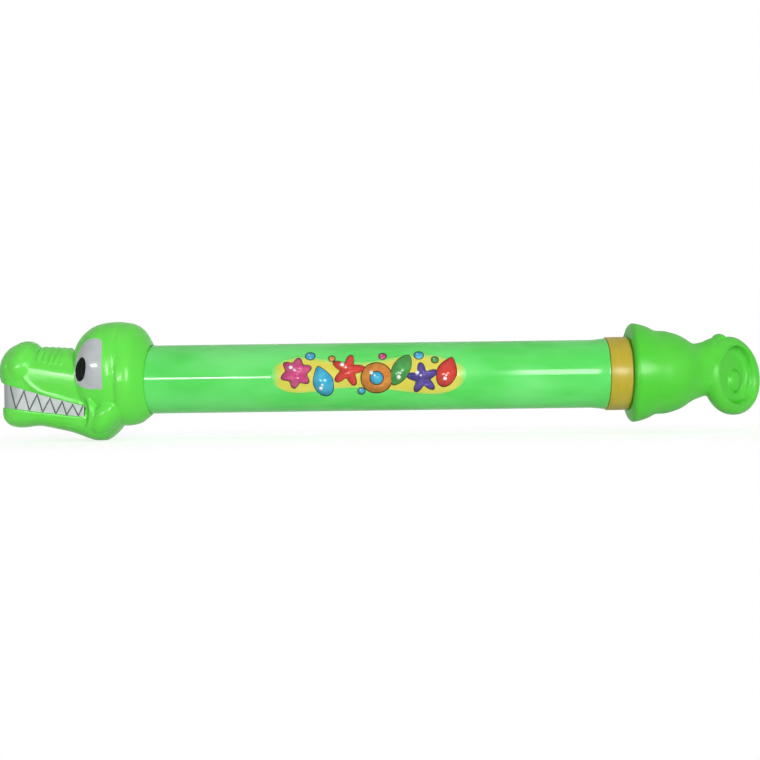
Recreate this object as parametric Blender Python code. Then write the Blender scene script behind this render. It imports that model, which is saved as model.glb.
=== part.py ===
"""Water squirter with a crocodile head, as an assembly of separate pieces.

The barrel runs along X, with the nozzle towards -X and the tail handle towards +X. Z is up.
Every piece is modelled about the barrel's axis and hangs from an empty on that axis, so that
the flat under its jaw is at Z = 0. The plunger is shown pushed right in.
"""

import math

import bmesh
import bpy
from mathutils import Matrix, Vector

# The script is in metres. Sizes are written in millimetres.
MM = 0.001

# Fits
FIT = 0.3 * MM
RUNNING_FIT = 0.3 * MM
PARTING_GAP = 0.3 * MM

# Barrel tube, belled at the rear over the collar's seat
BARREL_OD = 50.0 * MM
BARREL_WALL = 1.8 * MM
BARREL_SHOWN = 334.8 * MM
BELL_LENGTH = 14.0 * MM
BELL_RISE = 1.3 * MM

# Head, measured from the tip of the nose to the rim of the neck
HEAD_LENGTH = 111.2 * MM
HEAD_WALL = 2.4 * MM
SOCKET_DEPTH = 0.36 * HEAD_LENGTH
SLEEVE_WALL = 2.0 * MM
JAW_FLAT_CUT = 0.7 * MM
HOOD_SIDE_SWELL = 11.4 * MM
HOOD_RAKE = 0.045
EYE_DEPTH = 1.1 * MM
EYE_SEAT_WALL = 1.8 * MM
PUPIL_DEPTH = 0.5 * MM
PUPIL_WIDTH = 11.0 * MM
PUPIL_HEIGHT = 17.6 * MM
TEETH_RECESS = 1.6 * MM
TEETH_THICKNESS = 2.4 * MM
TOOTH_GROOVE_WIDTH = 0.8 * MM
TOOTH_GROOVE_DEPTH = 0.7 * MM

# Water way from the barrel to the mouth
SPOUT_DROP = 10.5 * MM
SPOUT_OD = 9.0 * MM
SPOUT_BORE = 5.0 * MM
PLUG_LENGTH = 12.0 * MM
PLUG_FLANGE = 3.0 * MM
PLUG_HUB_LENGTH = 10.0 * MM
PLUG_HUB_WALL = 2.0 * MM
NOZZLE_OD = 10.0 * MM
NOZZLE_FACE_THICKNESS = 3.5 * MM
NOZZLE_STEM_LENGTH = 8.0 * MM
NOZZLE_ORIFICE = 2.4 * MM

# Rear collar and the bush that guides the rod
COLLAR_RISE = 1.9 * MM
COLLAR_LENGTH = 13.4 * MM
COLLAR_SPIGOT = 20.0 * MM
BUSH_WALL = 2.4 * MM
BUSH_FLANGE = 2.0 * MM
BUSH_FLANGE_RISE = 2.5 * MM

# Piston and plunger rod
ROD_OD = 16.0 * MM
ROD_WALL = 1.7 * MM
PISTON_LENGTH = 16.0 * MM
PISTON_REST_GAP = 1.0 * MM
SEAL_THICKNESS = 3.6 * MM
SCREW_HEAD_OD = 9.0 * MM
SCREW_HEAD_HEIGHT = 2.6 * MM
SCREW_SHANK_OD = 3.6 * MM
SCREW_LENGTH = 26.0 * MM
ROD_PLUG_FLANGE = 3.0 * MM
ROD_PLUG_LENGTH = 22.0 * MM
WASHER_OD = 30.0 * MM
WASHER_THICKNESS = 4.0 * MM

# Tail handle
TAIL_GAP = 0.4 * MM
TAIL_WALL = 2.4 * MM
TAIL_FLANGE_OD = 71.2 * MM
TAIL_HUB_OD = 50.0 * MM
TAIL_HUB_DISC = 3.2 * MM
TAIL_HUB_LENGTH = 34.0 * MM
TAIL_HUB_WALL = 3.2 * MM
ROD_IN_TAIL = 30.0 * MM
PIN_OD = 3.0 * MM
PIN_PLACE = 20.0 * MM
COIL_OUTER = 57.0 * MM
COIL_BEAD = 9.4 * MM
COIL_SWELL = 1.45
COIL_DISH = 3.2 * MM
COIL_TURN_DEGREES = 40.0

# Where the head's forms run: back from the nose in parts of the head's length, and across and up
# from the barrel's axis in parts of the barrel's width. A part is 1 mm at the sizes above.
HEAD_PARTS, BARREL_PARTS = 111.2, 50.0
# Columns: place, height of the widest line, half width, reach up, reach down.
SNOUT = (
    (8.0, 8.5, 16.0, 14.5, 30.0),
    (13.0, 8.5, 18.8, 16.2, 32.0),
    (20.0, 8.4, 20.4, 17.0, 34.0),
    (30.0, 7.6, 21.3, 17.8, 34.0),
    (45.0, 5.0, 22.4, 19.3, 34.0),
    (60.0, 2.4, 23.6, 20.8, 34.0),
    (74.0, 1.0, 24.6, 21.4, 30.0),
)
JAW = (
    (4.0, -23.0, 8.0, 5.0, 3.6),
    (5.0, -23.4, 12.0, 7.5, 5.6),
    (7.2, -23.8, 15.6, 9.0, 7.4),
    (11.0, -24.2, 18.4, 10.0, 9.0),
    (18.0, -24.6, 20.6, 10.0, 9.3),
    (30.0, -25.0, 21.8, 10.0, 7.8),
    (42.0, -25.5, 22.8, 10.0, 9.5),
    (55.0, -26.5, 24.4, 10.0, 11.6),
    (68.0, -27.5, 26.2, 11.0, 14.8),
    (76.0, -27.5, 27.0, 12.0, 16.8),
    (83.0, -27.0, 26.4, 12.0, 14.6),
    (89.0, -26.0, 24.0, 11.0, 11.0),
    (93.0, -25.0, 19.0, 9.0, 6.0),
)
FACE = (
    (56.4, 7.0, 15.0, 14.0, 22.0),
    (58.8, 7.0, 21.5, 22.6, 26.0),
    (62.0, 7.0, 26.0, 27.0, 30.0),
    (66.0, 7.0, 29.4, 30.4, 32.0),
    (71.0, 7.0, 32.0, 32.8, 34.0),
    (77.0, 7.0, 33.8, 34.6, 36.0),
    (83.0, 7.0, 34.4, 35.4, 38.0),
    (87.0, 7.0, 33.8, 35.4, 38.0),
    (90.0, 7.0, 32.2, 35.0, 37.0),
    (94.0, 7.0, 29.0, 33.0, 33.0),
)
# Columns: place forward of the neck's rim, then growth over the barrel at top, bottom and side,
# the last as a share of the hood's swell.
HOOD = (
    (0.0, 1.2, 1.2, 0.10),
    (1.5, 3.6, 1.6, 0.26),
    (4.2, 8.1, 2.8, 0.50),
    (7.2, 11.6, 5.0, 0.73),
    (10.5, 14.0, 6.8, 0.90),
    (15.0, 16.2, 8.0, 1.00),
    (19.0, 17.1, 8.3, 0.96),
    (22.0, 17.4, 8.0, 0.80),
    (24.0, 17.5, 7.4, 0.64),
    (27.0, 16.8, 5.4, 0.34),
    (31.0, 13.0, 1.0, -0.3),
)
# Centres and radii: back, left, up.
NOSE_CENTRE, NOSE_RADII, NOSE_TILT = (17.3, 0.0, 10.2), (17.6, 22.4, 19.0), 10.0
CHEEK_CENTRE, CHEEK_RADII, CHEEK_TILT = (84.4, 16.6, -21.4), (13.6, 15.6, 18.6), 18.0
EYE_CENTRE, EYE_RADII = (77.0, 18.0, 10.0), (16.6, 17.6, 27.0)
NOSTRIL_CENTRE, NOSTRIL_RADII = (2.9, 12.2, 11.5), (1.9, 2.6, 1.9)
# The lip, and the fold round the corner of the mouth: back, left, up and bead radius.
LIP = (
    (9.0, 8.0, 3.0, 6.6),
    (15.0, 12.4, 2.4, 7.6),
    (20.5, 14.8, 0.6, 7.6),
    (26.5, 15.9, -3.0, 6.9),
    (34.0, 17.2, -6.8, 5.8),
    (43.0, 18.8, -10.4, 4.6),
    (53.0, 20.2, -13.4, 3.8),
    (62.0, 21.2, -16.0, 3.2),
    (66.0, 21.6, -17.4, 2.4),
)
MOUTH_FOLD = (
    (66.0, 24.6, -8.5, 1.4),
    (69.6, 25.6, -13.5, 2.0),
    (71.6, 26.2, -19.5, 2.4),
    (71.6, 26.4, -25.5, 2.4),
    (69.8, 26.0, -31.0, 2.0),
    (67.0, 24.6, -35.0, 1.4),
)
WRINKLES = (34.8, 39.6, 44.0, 48.2)
WRINKLE_BEAD, WRINKLE_RISE = 2.4, 0.55
# The mouth is a wedge: place, upper lip's edge, lower lip's edge.
MOUTH = ((-2.0, 0.2, -20.4), (12.0, -3.4, -21.2), (36.0, -10.6, -23.2), (66.5, -18.6, -26.2))
# Points of the zigzag between the teeth: place and height.
TEETH_ZIGZAG = (
    (8.0, -21.5), (13.3, -4.0), (17.2, -21.3), (23.3, -7.8), (26.9, -21.8), (32.7, -9.7), (36.3, -23.4),
    (41.7, -13.0), (45.6, -24.6), (50.3, -15.2), (53.5, -25.0), (57.8, -17.5), (61.8, -25.4), (65.0, -18.6),
)
# The eye white is half an oval, cut straight at the back and the bottom: centre, radii, lowest line,
# corner. Its floor is how far from the middle its deepest edge stays.
EYE_OUTLINE_CENTRE, EYE_OUTLINE_RADII, EYE_BOTTOM, EYE_CORNER = (82.0, 10.0), (20.0, 19.0), -6.2, 4.5
EYE_FLOOR = 23.8
PUPIL_TURN_DEGREES, PUPIL_PLACE, PUPIL_UP = 41.0, 66.6, 8.0
# Outside of the tail's base: place back from its front, radius as a share of the flange.
TAIL_BASE = (
    (0.0, 0.815), (1.5, 0.944), (3.0, 0.989), (4.6, 1.0), (7.0, 0.991), (11.0, 0.962), (15.0, 0.920),
    (19.2, 0.858), (22.0, 0.846), (28.0, 0.836), (34.0, 0.790), (40.0, 0.724), (45.6, 0.624), (49.0, 0.574),
)
# Neck between base and curl: place, side shift, height, half width, half height.
TAIL_NECK = (
    (44.0, 0.0, 0.0, 22.6, 22.8),
    (49.0, 0.0, 0.3, 19.6, 20.8),
    (55.0, 0.3, 2.2, 16.4, 20.2),
    (61.0, 1.0, 4.3, 13.2, 20.4),
    (67.0, 2.4, 6.2, 10.2, 19.6),
    (73.0, 4.0, 7.4, 7.2, 16.4),
    (80.0, 6.0, 8.0, 4.0, 10.0),
)
COIL_PLACE, COIL_SIDE, COIL_HEIGHT = 80.6, 4.0, -2.7
SCUTE_PLACE, SCUTE_RADII = (69.5, 2.4, 24.2), (7.4, 4.6, 4.6)

# Places along the barrel's axis
HEAD_STEP = HEAD_LENGTH / HEAD_PARTS
HEAD_RISE = BARREL_OD / BARREL_PARTS
BARREL_R = BARREL_OD / 2
BORE_R = BARREL_R - BARREL_WALL
COIL_R = COIL_OUTER / 2
COIL_REACH = (COIL_R - COIL_BEAD / 2) * math.cos(math.radians(COIL_TURN_DEGREES)) + COIL_BEAD / 2
TAIL_LENGTH = COIL_PLACE * MM + COIL_REACH
LENGTH = HEAD_LENGTH + BARREL_SHOWN + COLLAR_LENGTH + TAIL_GAP + TAIL_LENGTH
NOSE_X = -LENGTH / 2
NECK_X = NOSE_X + HEAD_LENGTH
BARREL_FRONT_X = NECK_X - SOCKET_DEPTH
BARREL_REAR_X = NECK_X + BARREL_SHOWN
COLLAR_REAR_X = BARREL_REAR_X + COLLAR_LENGTH
TAIL_X = COLLAR_REAR_X + TAIL_GAP
PLUG_REAR_X = BARREL_FRONT_X + PLUG_LENGTH
PISTON_X = PLUG_REAR_X + PISTON_REST_GAP
PISTON_REAR_X = PISTON_X + PISTON_LENGTH
ROD_FRONT_X = PISTON_REAR_X + FIT + ROD_PLUG_FLANGE + FIT
ROD_REAR_X = TAIL_X + ROD_IN_TAIL
ROD_R = ROD_OD / 2
ROD_BORE_R = ROD_R - ROD_WALL
SPIGOT_FRONT_X = BARREL_REAR_X - COLLAR_SPIGOT
SLEEVE_R = BARREL_R + FIT + SLEEVE_WALL
AXIS_HEIGHT = max(row[4] - row[1] for row in JAW) * HEAD_RISE - JAW_FLAT_CUT
TAIL_FLANGE_R = TAIL_FLANGE_OD / 2

# Facets round the barrel, a turned piece, a form of the head, the hollow in it and a bead
BARREL_SEGMENTS = 36
TURNED_SEGMENTS = 22
SMALL_SEGMENTS = 18
FORM_SEGMENTS = 22
HOLLOW_SEGMENTS = 10
BEAD_SEGMENTS = 8


def solid(name, bm):
    """Makes an object of a bmesh, with its faces pointing out."""
    bmesh.ops.remove_doubles(bm, verts=bm.verts, dist=1e-7)
    bmesh.ops.recalc_face_normals(bm, faces=bm.faces)
    mesh = bpy.data.meshes.new(name)
    bm.to_mesh(mesh)
    bm.free()
    obj = bpy.data.objects.new(name, mesh)
    bpy.context.scene.collection.objects.link(obj)
    return obj


def turned(name, profile, height=0.0, segments=TURNED_SEGMENTS):
    """A piece turned about the X direction from (place, radius) points. Ends on the axis stay open."""
    bm = bmesh.new()
    verts = [bm.verts.new((x, 0.0, r)) for x, r in profile]
    pairs = list(zip(verts, verts[1:]))
    if profile[0][1] > 0.0 or profile[-1][1] > 0.0:
        pairs.append((verts[-1], verts[0]))
    edges = [bm.edges.new(pair) for pair in pairs]
    bmesh.ops.spin(bm, geom=verts + edges, cent=(0, 0, 0), axis=(1, 0, 0), angle=2 * math.pi,
                   steps=segments, use_merge=True)
    bmesh.ops.translate(bm, verts=bm.verts, vec=(0.0, 0.0, height))
    return solid(name, bm)


def ring_section(centre_x, major, minor, sides=6):
    """Points round the section of a ring seal."""
    turns = [2 * math.pi * i / sides for i in range(sides)]
    return [(centre_x + minor * math.cos(t), major + minor * math.sin(t)) for t in turns]


def lofted(name, rings):
    """A skin over rings of points, closed at both ends."""
    bm = bmesh.new()
    rows = [[bm.verts.new(point) for point in ring] for ring in rings]
    count = len(rows[0])
    for near, far in zip(rows, rows[1:]):
        for i in range(count):
            j = (i + 1) % count
            bm.faces.new((near[i], near[j], far[j], far[i]))
    bm.faces.new(rows[0])
    bm.faces.new(rows[-1])
    return solid(name, bm)


def oval(place, half_width, up, down, power=2.0, sides=FORM_SEGMENTS):
    """A ring across the axis at a point, with its own reach up and down."""
    points = []
    for i in range(sides):
        turn = 2 * math.pi * (i + 0.5) / sides
        c, s = math.cos(turn), math.sin(turn)
        y = half_width * math.copysign(abs(c) ** (2 / power), c)
        z = (up if s > 0 else down) * math.copysign(abs(s) ** (2 / power), s)
        points.append(Vector(place) + Vector((0.0, y, z)))
    return points


def ellipsoid(name, centre, radii, tilt=0.0, segments=22, rings=14):
    """A ball stretched to three radii and tilted about the Y direction."""
    bm = bmesh.new()
    place = Matrix.Translation(centre) @ Matrix.Rotation(math.radians(tilt), 4, "Y")
    matrix = place @ Matrix.Diagonal((*radii, 1.0))
    bmesh.ops.create_uvsphere(bm, u_segments=segments, v_segments=rings, radius=1.0, matrix=matrix)
    return solid(name, bm)


def swept(name, path, radii, across, sides=BEAD_SEGMENTS, depth=1.0):
    """A bead along a path. It is round, or deeper along the given direction."""
    rings = []
    for i, point in enumerate(path):
        tangent = (path[min(i + 1, len(path) - 1)] - path[max(i - 1, 0)]).normalized()
        out = (across - across.dot(tangent) * tangent).normalized()
        side = tangent.cross(out)
        turns = [2 * math.pi * k / sides for k in range(sides)]
        rings.append([point + radii[i] * (depth * math.cos(t) * out + math.sin(t) * side) for t in turns])
    return lofted(name, rings)


def prism(name, outline, low, high, direction="Y"):
    """A straight block along Y from (x, z) points, or along Z from (x, y) points."""
    if direction == "Y":
        ends = [[Vector((x, level, z)) for x, z in outline] for level in (low, high)]
    else:
        ends = [[Vector((x, y, level)) for x, y in outline] for level in (low, high)]
    return lofted(name, ends)


def volume(mesh):
    """How much a closed mesh holds."""
    bm = bmesh.new()
    bm.from_mesh(mesh)
    held = bm.calc_volume()
    bm.free()
    return held


def combine(target, tool, operation):
    """Unites, cuts or intersects one solid with another and removes the tool."""
    own, other = volume(target.data), volume(tool.data)
    limits = {"UNION": (max(own, other), own + other), "DIFFERENCE": (max(own - other, 0.01 * own), own),
              "INTERSECT": (0.0, min(own, other))}
    least, most = limits[operation]
    slack = 0.00001 * own
    modifier = target.modifiers.new(operation, "BOOLEAN")
    modifier.operation = operation
    modifier.object = tool
    for solver in ("EXACT", "MANIFOLD"):
        modifier.solver = solver
        graph = bpy.context.evaluated_depsgraph_get()
        mesh = bpy.data.meshes.new_from_object(target.evaluated_get(graph))
        if mesh.polygons and least - slack < volume(mesh) < most + slack:
            break
    target.modifiers.clear()
    target.data, old = mesh, target.data
    bpy.data.meshes.remove(old)
    bpy.data.meshes.remove(tool.data)
    return target


def united(name, pieces):
    """One solid from several that overlap."""
    whole = pieces[0]
    for piece in pieces[1:]:
        combine(whole, piece, "UNION")
    whole.name = name
    return whole


def mirrored(obj, name):
    """A copy of a solid on the other side of the middle plane."""
    bm = bmesh.new()
    bm.from_mesh(obj.data)
    bmesh.ops.scale(bm, vec=(1.0, -1.0, 1.0), verts=bm.verts)
    return solid(name, bm)


def head_point(place):
    """A point of the head from its parts back from the nose, to the left and up from the axis."""
    return Vector((NOSE_X + place[0] * HEAD_STEP, -place[1] * HEAD_RISE, place[2] * HEAD_RISE))


def station_at(stations, place):
    """A form's measures at a place between its stations."""
    for low, high in zip(stations, stations[1:]):
        if low[0] <= place <= high[0]:
            share = (place - low[0]) / (high[0] - low[0])
            return [a + share * (b - a) for a, b in zip(low, high)]
    return list(stations[-1])


def head_loft(name, stations, inset=0.0, power=2.3):
    """A form of the head skinned over its stations, or the hollow inside it with fewer of them."""
    rows = stations
    if inset:
        margin = inset / HEAD_STEP
        first, last = stations[0][0] + margin, stations[-1][0] - margin
        inside = [row[0] for row in stations if first + margin < row[0] < last - margin]
        rows = [station_at(stations, place) for place in (first, *inside[::2], last)]
    rings = []
    for place, height, *reaches in rows:
        half_width, up, down = [reach * HEAD_RISE - inset for reach in reaches]
        middle = head_point((place, 0.0, height))
        rings.append(oval(middle, half_width, up, down, power, HOLLOW_SEGMENTS if inset else FORM_SEGMENTS))
    return lofted(name, rings)


def hood(name, inset=0.0):
    """The hood round the neck, which follows the barrel's size, or the hollow inside it."""
    rows = [row for row in HOOD if row[0] * HEAD_STEP >= 1.2 * inset]
    rings = []
    for forward, top, bottom, side in rows:
        place = (NECK_X - forward * HEAD_STEP, 0.0, 0.0)
        half_width = BARREL_R + side * HOOD_SIDE_SWELL - inset
        up, down = [BARREL_R + growth * HEAD_RISE - inset for growth in (top, bottom)]
        ring = oval(place, half_width, up, down, 2.1, HOLLOW_SEGMENTS if inset else FORM_SEGMENTS)
        rings.append([point + Vector((HOOD_RAKE * point.z, 0.0, 0.0)) for point in ring])
    return lofted(name, rings)


def head_radii(radii, inset):
    """A rounded form's radii in metres, less an inset."""
    return [radius * part - inset for radius, part in zip(radii, (HEAD_STEP, HEAD_RISE, HEAD_RISE))]


def head_ball(name, centre, radii, inset=0.0, tilt=0.0):
    """A rounded form of the head, or the hollow inside it."""
    sides = HOLLOW_SEGMENTS if inset else FORM_SEGMENTS
    return ellipsoid(name, head_point(centre), head_radii(radii, inset), tilt, sides, sides // 2)


def head_bead(name, rows):
    """A raised line on the left of the head."""
    path = [head_point(row[:3]) for row in rows]
    return swept(name, path, [row[3] * HEAD_RISE for row in rows], Vector((0.0, -1.0, 0.0)))


def wrinkle(name, place):
    """A fold over the top of the snout."""
    _, height, half_width, up, _ = station_at(SNOUT, place)
    sink = WRINKLE_BEAD - WRINKLE_RISE
    rows = []
    for i in range(11):
        turn = math.radians(35.0 + 11.0 * i)
        across = (half_width - sink) * math.cos(turn)
        lift = height + (up - sink) * math.sin(turn)
        ends = min(i, 10 - i)
        rows.append((place - 1.6 * abs(math.cos(turn)), across, lift, WRINKLE_BEAD if ends > 1 else 1.9))
    path = [head_point(row[:3]) for row in rows]
    return swept(name, path, [row[3] * HEAD_RISE for row in rows], Vector((1.0, 0.0, 0.0)), sides=8)


def head_forms(inset=0.0):
    """The forms that make up the head, or the smaller ones that hollow it out."""
    forms = [
        head_loft("snout", SNOUT, inset, 2.5),
        head_ball("nose", NOSE_CENTRE, NOSE_RADII, inset, NOSE_TILT),
        head_loft("jaw", JAW, inset, 2.6),
        head_loft("face", FACE, inset, 2.6),
        hood("hood", inset),
    ]
    if inset == 0.0:
        forms.append(head_ball("cheek", CHEEK_CENTRE, CHEEK_RADII, inset, CHEEK_TILT))
        forms.append(head_ball("eye_dome", EYE_CENTRE, EYE_RADII))
        forms.append(head_bead("lip", LIP))
        forms.append(head_bead("mouth_fold", MOUTH_FOLD))
        forms.extend(wrinkle("wrinkle", place) for place in WRINKLES)
    return forms


def mouth_wedge(name, gap):
    """The space between the lips, less a gap all round."""
    points = [(NOSE_X + place * HEAD_STEP, upper * HEAD_RISE - gap) for place, upper, _ in MOUTH]
    points += [(NOSE_X + place * HEAD_STEP, lower * HEAD_RISE + gap) for place, _, lower in reversed(MOUTH)]
    back = NOSE_X + MOUTH[-1][0] * HEAD_STEP - gap
    outline = [(min(x, back), z) for x, z in points]
    return prism(name, outline, -BARREL_OD, BARREL_OD)


def eye_outline(grow):
    """The edge of the eye white seen from the side, grown by a margin."""
    corner = EYE_CORNER * HEAD_RISE
    back = NOSE_X + EYE_OUTLINE_CENTRE[0] * HEAD_STEP
    middle = EYE_OUTLINE_CENTRE[1] * HEAD_RISE
    long, tall = EYE_OUTLINE_RADII[0] * HEAD_STEP, EYE_OUTLINE_RADII[1] * HEAD_RISE
    bottom = EYE_BOTTOM * HEAD_RISE - grow
    points = []
    for i in range(15):
        turn = math.radians(94.0 + 12.0 * i)
        x = back + (long + grow) * math.cos(turn)
        z = middle + (tall + grow) * math.sin(turn)
        if z > bottom and x < back - corner:
            points.append((x, z))
    left = points[-1][0]
    points.append((left + 1.5 * MM, bottom))
    points.append((back + grow, bottom))
    for i in range(5):
        turn = math.radians(22.5 * i)
        x = back - corner + (corner + grow) * math.cos(turn)
        z = middle + tall - 0.3 * MM - corner + (corner + grow) * math.sin(turn)
        points.append((x, z))
    return points


def eye_shell(name, depth):
    """The eye's dome, less a skin of a given depth."""
    return ellipsoid(name, head_point(EYE_CENTRE), head_radii(EYE_RADII, depth), segments=24, rings=12)


def eye_block(name, grow):
    """A block behind the edge of the eye white, on the left side of the head."""
    floor = head_point((0.0, EYE_FLOOR, 0.0)).y + grow
    return prism(name, eye_outline(grow), -1.6 * BARREL_OD, floor)


def pupil_block(name, grow):
    """An oval rod square to the eye's surface where the pupil is."""
    turn = math.radians(PUPIL_TURN_DEGREES)
    out = Vector((-math.sin(turn), -math.cos(turn), 0.0))
    side = Vector((math.cos(turn), -math.sin(turn), 0.0))
    rise = Vector((0.0, 0.0, 1.0))
    share = (PUPIL_PLACE - EYE_CENTRE[0]) / EYE_RADII[0]
    left = EYE_CENTRE[1] + EYE_RADII[1] * math.sqrt(1.0 - share * share)
    middle = head_point((PUPIL_PLACE, left, PUPIL_UP))
    rings = []
    for level in (-5.0 * MM, 8.0 * MM):
        turns = [2 * math.pi * i / 24 for i in range(24)]
        ring = [middle + level * out + (PUPIL_WIDTH / 2 + grow) * math.cos(t) * side
                + (PUPIL_HEIGHT / 2 + grow) * math.sin(t) * rise for t in turns]
        rings.append(ring)
    return lofted(name, rings)


def eye_pieces():
    """The left eye white, set into the head, and the pupil set into it."""
    white = combine(eye_shell("eye_white_left", 0.0), eye_block("block", 0.0), "INTERSECT")
    combine(white, eye_shell("core", EYE_DEPTH), "DIFFERENCE")
    pocket = combine(pupil_block("pocket", FIT), eye_shell("core", PUPIL_DEPTH + FIT), "DIFFERENCE")
    combine(white, pocket, "DIFFERENCE")
    pupil = combine(pupil_block("pupil_left", 0.0), eye_shell("dome", 0.0), "INTERSECT")
    combine(pupil, eye_shell("core", PUPIL_DEPTH), "DIFFERENCE")
    return white, pupil


def head_side(gap):
    """A block over the left of the head, down to the flat under the jaw and short of the middle by a gap."""
    front, rear = NOSE_X - HEAD_LENGTH, NECK_X + HEAD_LENGTH
    outline = [(front, -AXIS_HEIGHT), (rear, -AXIS_HEIGHT), (rear, HEAD_LENGTH), (front, HEAD_LENGTH)]
    return prism("side", outline, -2 * HEAD_LENGTH, -gap)


def head_sleeve():
    """Half the tube inside the head that holds the barrel."""
    front, rim = BARREL_FRONT_X - PLUG_FLANGE, NECK_X - HOOD_RAKE * BARREL_R - FIT
    sleeve = turned("sleeve", [(front, BARREL_R), (rim, BARREL_R), (rim, BARREL_R + MM),
                               (rim - 4 * MM, SLEEVE_R), (front, SLEEVE_R)])
    return combine(sleeve, head_side(PARTING_GAP), "INTERSECT")


def eye_seat():
    """The wall behind the eye's pocket."""
    seat = combine(eye_block("seat", EYE_SEAT_WALL), eye_shell("dome", EYE_DEPTH), "INTERSECT")
    return combine(seat, eye_shell("core", EYE_DEPTH + FIT + EYE_SEAT_WALL), "DIFFERENCE")


def head_half():
    """The left half of the head shell, with its socket for the barrel and its pockets."""
    half = united("head_shell_left", head_forms())
    combine(half, head_side(PARTING_GAP / 2), "INTERSECT")
    for form in head_forms(HEAD_WALL):
        combine(half, form, "DIFFERENCE")
    combine(half, head_sleeve(), "UNION")
    combine(half, eye_seat(), "UNION")
    bore = BARREL_R + FIT
    socket = [(BARREL_FRONT_X - 2 * PLUG_FLANGE, 0.0), (BARREL_FRONT_X - 2 * PLUG_FLANGE, bore),
              (NECK_X + 5 * MM, bore), (NECK_X + 5 * MM, 0.0)]
    combine(half, turned("socket", socket), "DIFFERENCE")
    combine(half, mouth_wedge("mouth", 0.0), "DIFFERENCE")
    combine(half, head_ball("nostril", NOSTRIL_CENTRE, NOSTRIL_RADII), "DIFFERENCE")
    pocket = combine(eye_block("pocket", FIT), eye_shell("core", EYE_DEPTH + FIT), "DIFFERENCE")
    return combine(half, pocket, "DIFFERENCE")


def teeth_plan(inset):
    """The front of the jaw from above, moved in by an inset: (x, y) from the left rear round."""
    back = NOSE_X + MOUTH[-1][0] * HEAD_STEP - FIT
    rows = [(NOSE_X + row[0] * HEAD_STEP, row[2] * HEAD_RISE - inset)
            for row in JAW if row[0] < MOUTH[-1][0]]
    front = rows[0][0] + inset
    left = [(back, -(rows[-1][1] + 0.6 * MM))]
    left += [(max(x, front), -y) for x, y in reversed(rows) if x > front + 0.2 * MM]
    left.append((front, -rows[1][1] + 1.5 * MM))
    return left + [(x, -y) for x, y in reversed(left)]


def stroke(points, width):
    """Blocks outlines along a zigzag, one for each leg."""
    legs = []
    for (x0, z0), (x1, z1) in zip(points, points[1:]):
        run = Vector((x1 - x0, z1 - z0))
        side = Vector((-run.y, run.x)).normalized() * width / 2
        ends = run.normalized() * width / 2
        legs.append([Vector((x0, z0)) - ends + side, Vector((x1, z1)) + ends + side,
                     Vector((x1, z1)) + ends - side, Vector((x0, z0)) - ends - side])
    return legs


def teeth_band():
    """The row of teeth: a band that runs round the mouth between the lips, with grooves between the teeth."""
    outline = teeth_plan(TEETH_RECESS) + list(reversed(teeth_plan(TEETH_RECESS + TEETH_THICKNESS)))
    low, high = -1.6 * BARREL_R, 0.5 * BARREL_R
    band = prism("teeth_band", outline, low, high, "Z")
    combine(band, mouth_wedge("mouth", FIT), "INTERSECT")
    points = [(NOSE_X + x * HEAD_STEP, z * HEAD_RISE) for x, z in TEETH_ZIGZAG]
    legs = [prism("leg", leg, -BARREL_OD, BARREL_OD) for leg in stroke(points, TOOTH_GROOVE_WIDTH)]
    grooves = united("grooves", legs)
    core = prism("core", teeth_plan(TEETH_RECESS + TOOTH_GROOVE_DEPTH), 2 * low, 2 * high, "Z")
    combine(grooves, core, "DIFFERENCE")
    combine(band, grooves, "DIFFERENCE")
    hole = NOZZLE_OD / 2 + FIT
    front, back = NOSE_X - NOZZLE_OD, NOSE_X + 0.14 * HEAD_LENGTH
    drill = turned("hole", [(front, 0.0), (front, hole), (back, hole), (back, 0.0)], -SPOUT_DROP,
                   SMALL_SEGMENTS)
    return combine(band, drill, "DIFFERENCE")


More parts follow.
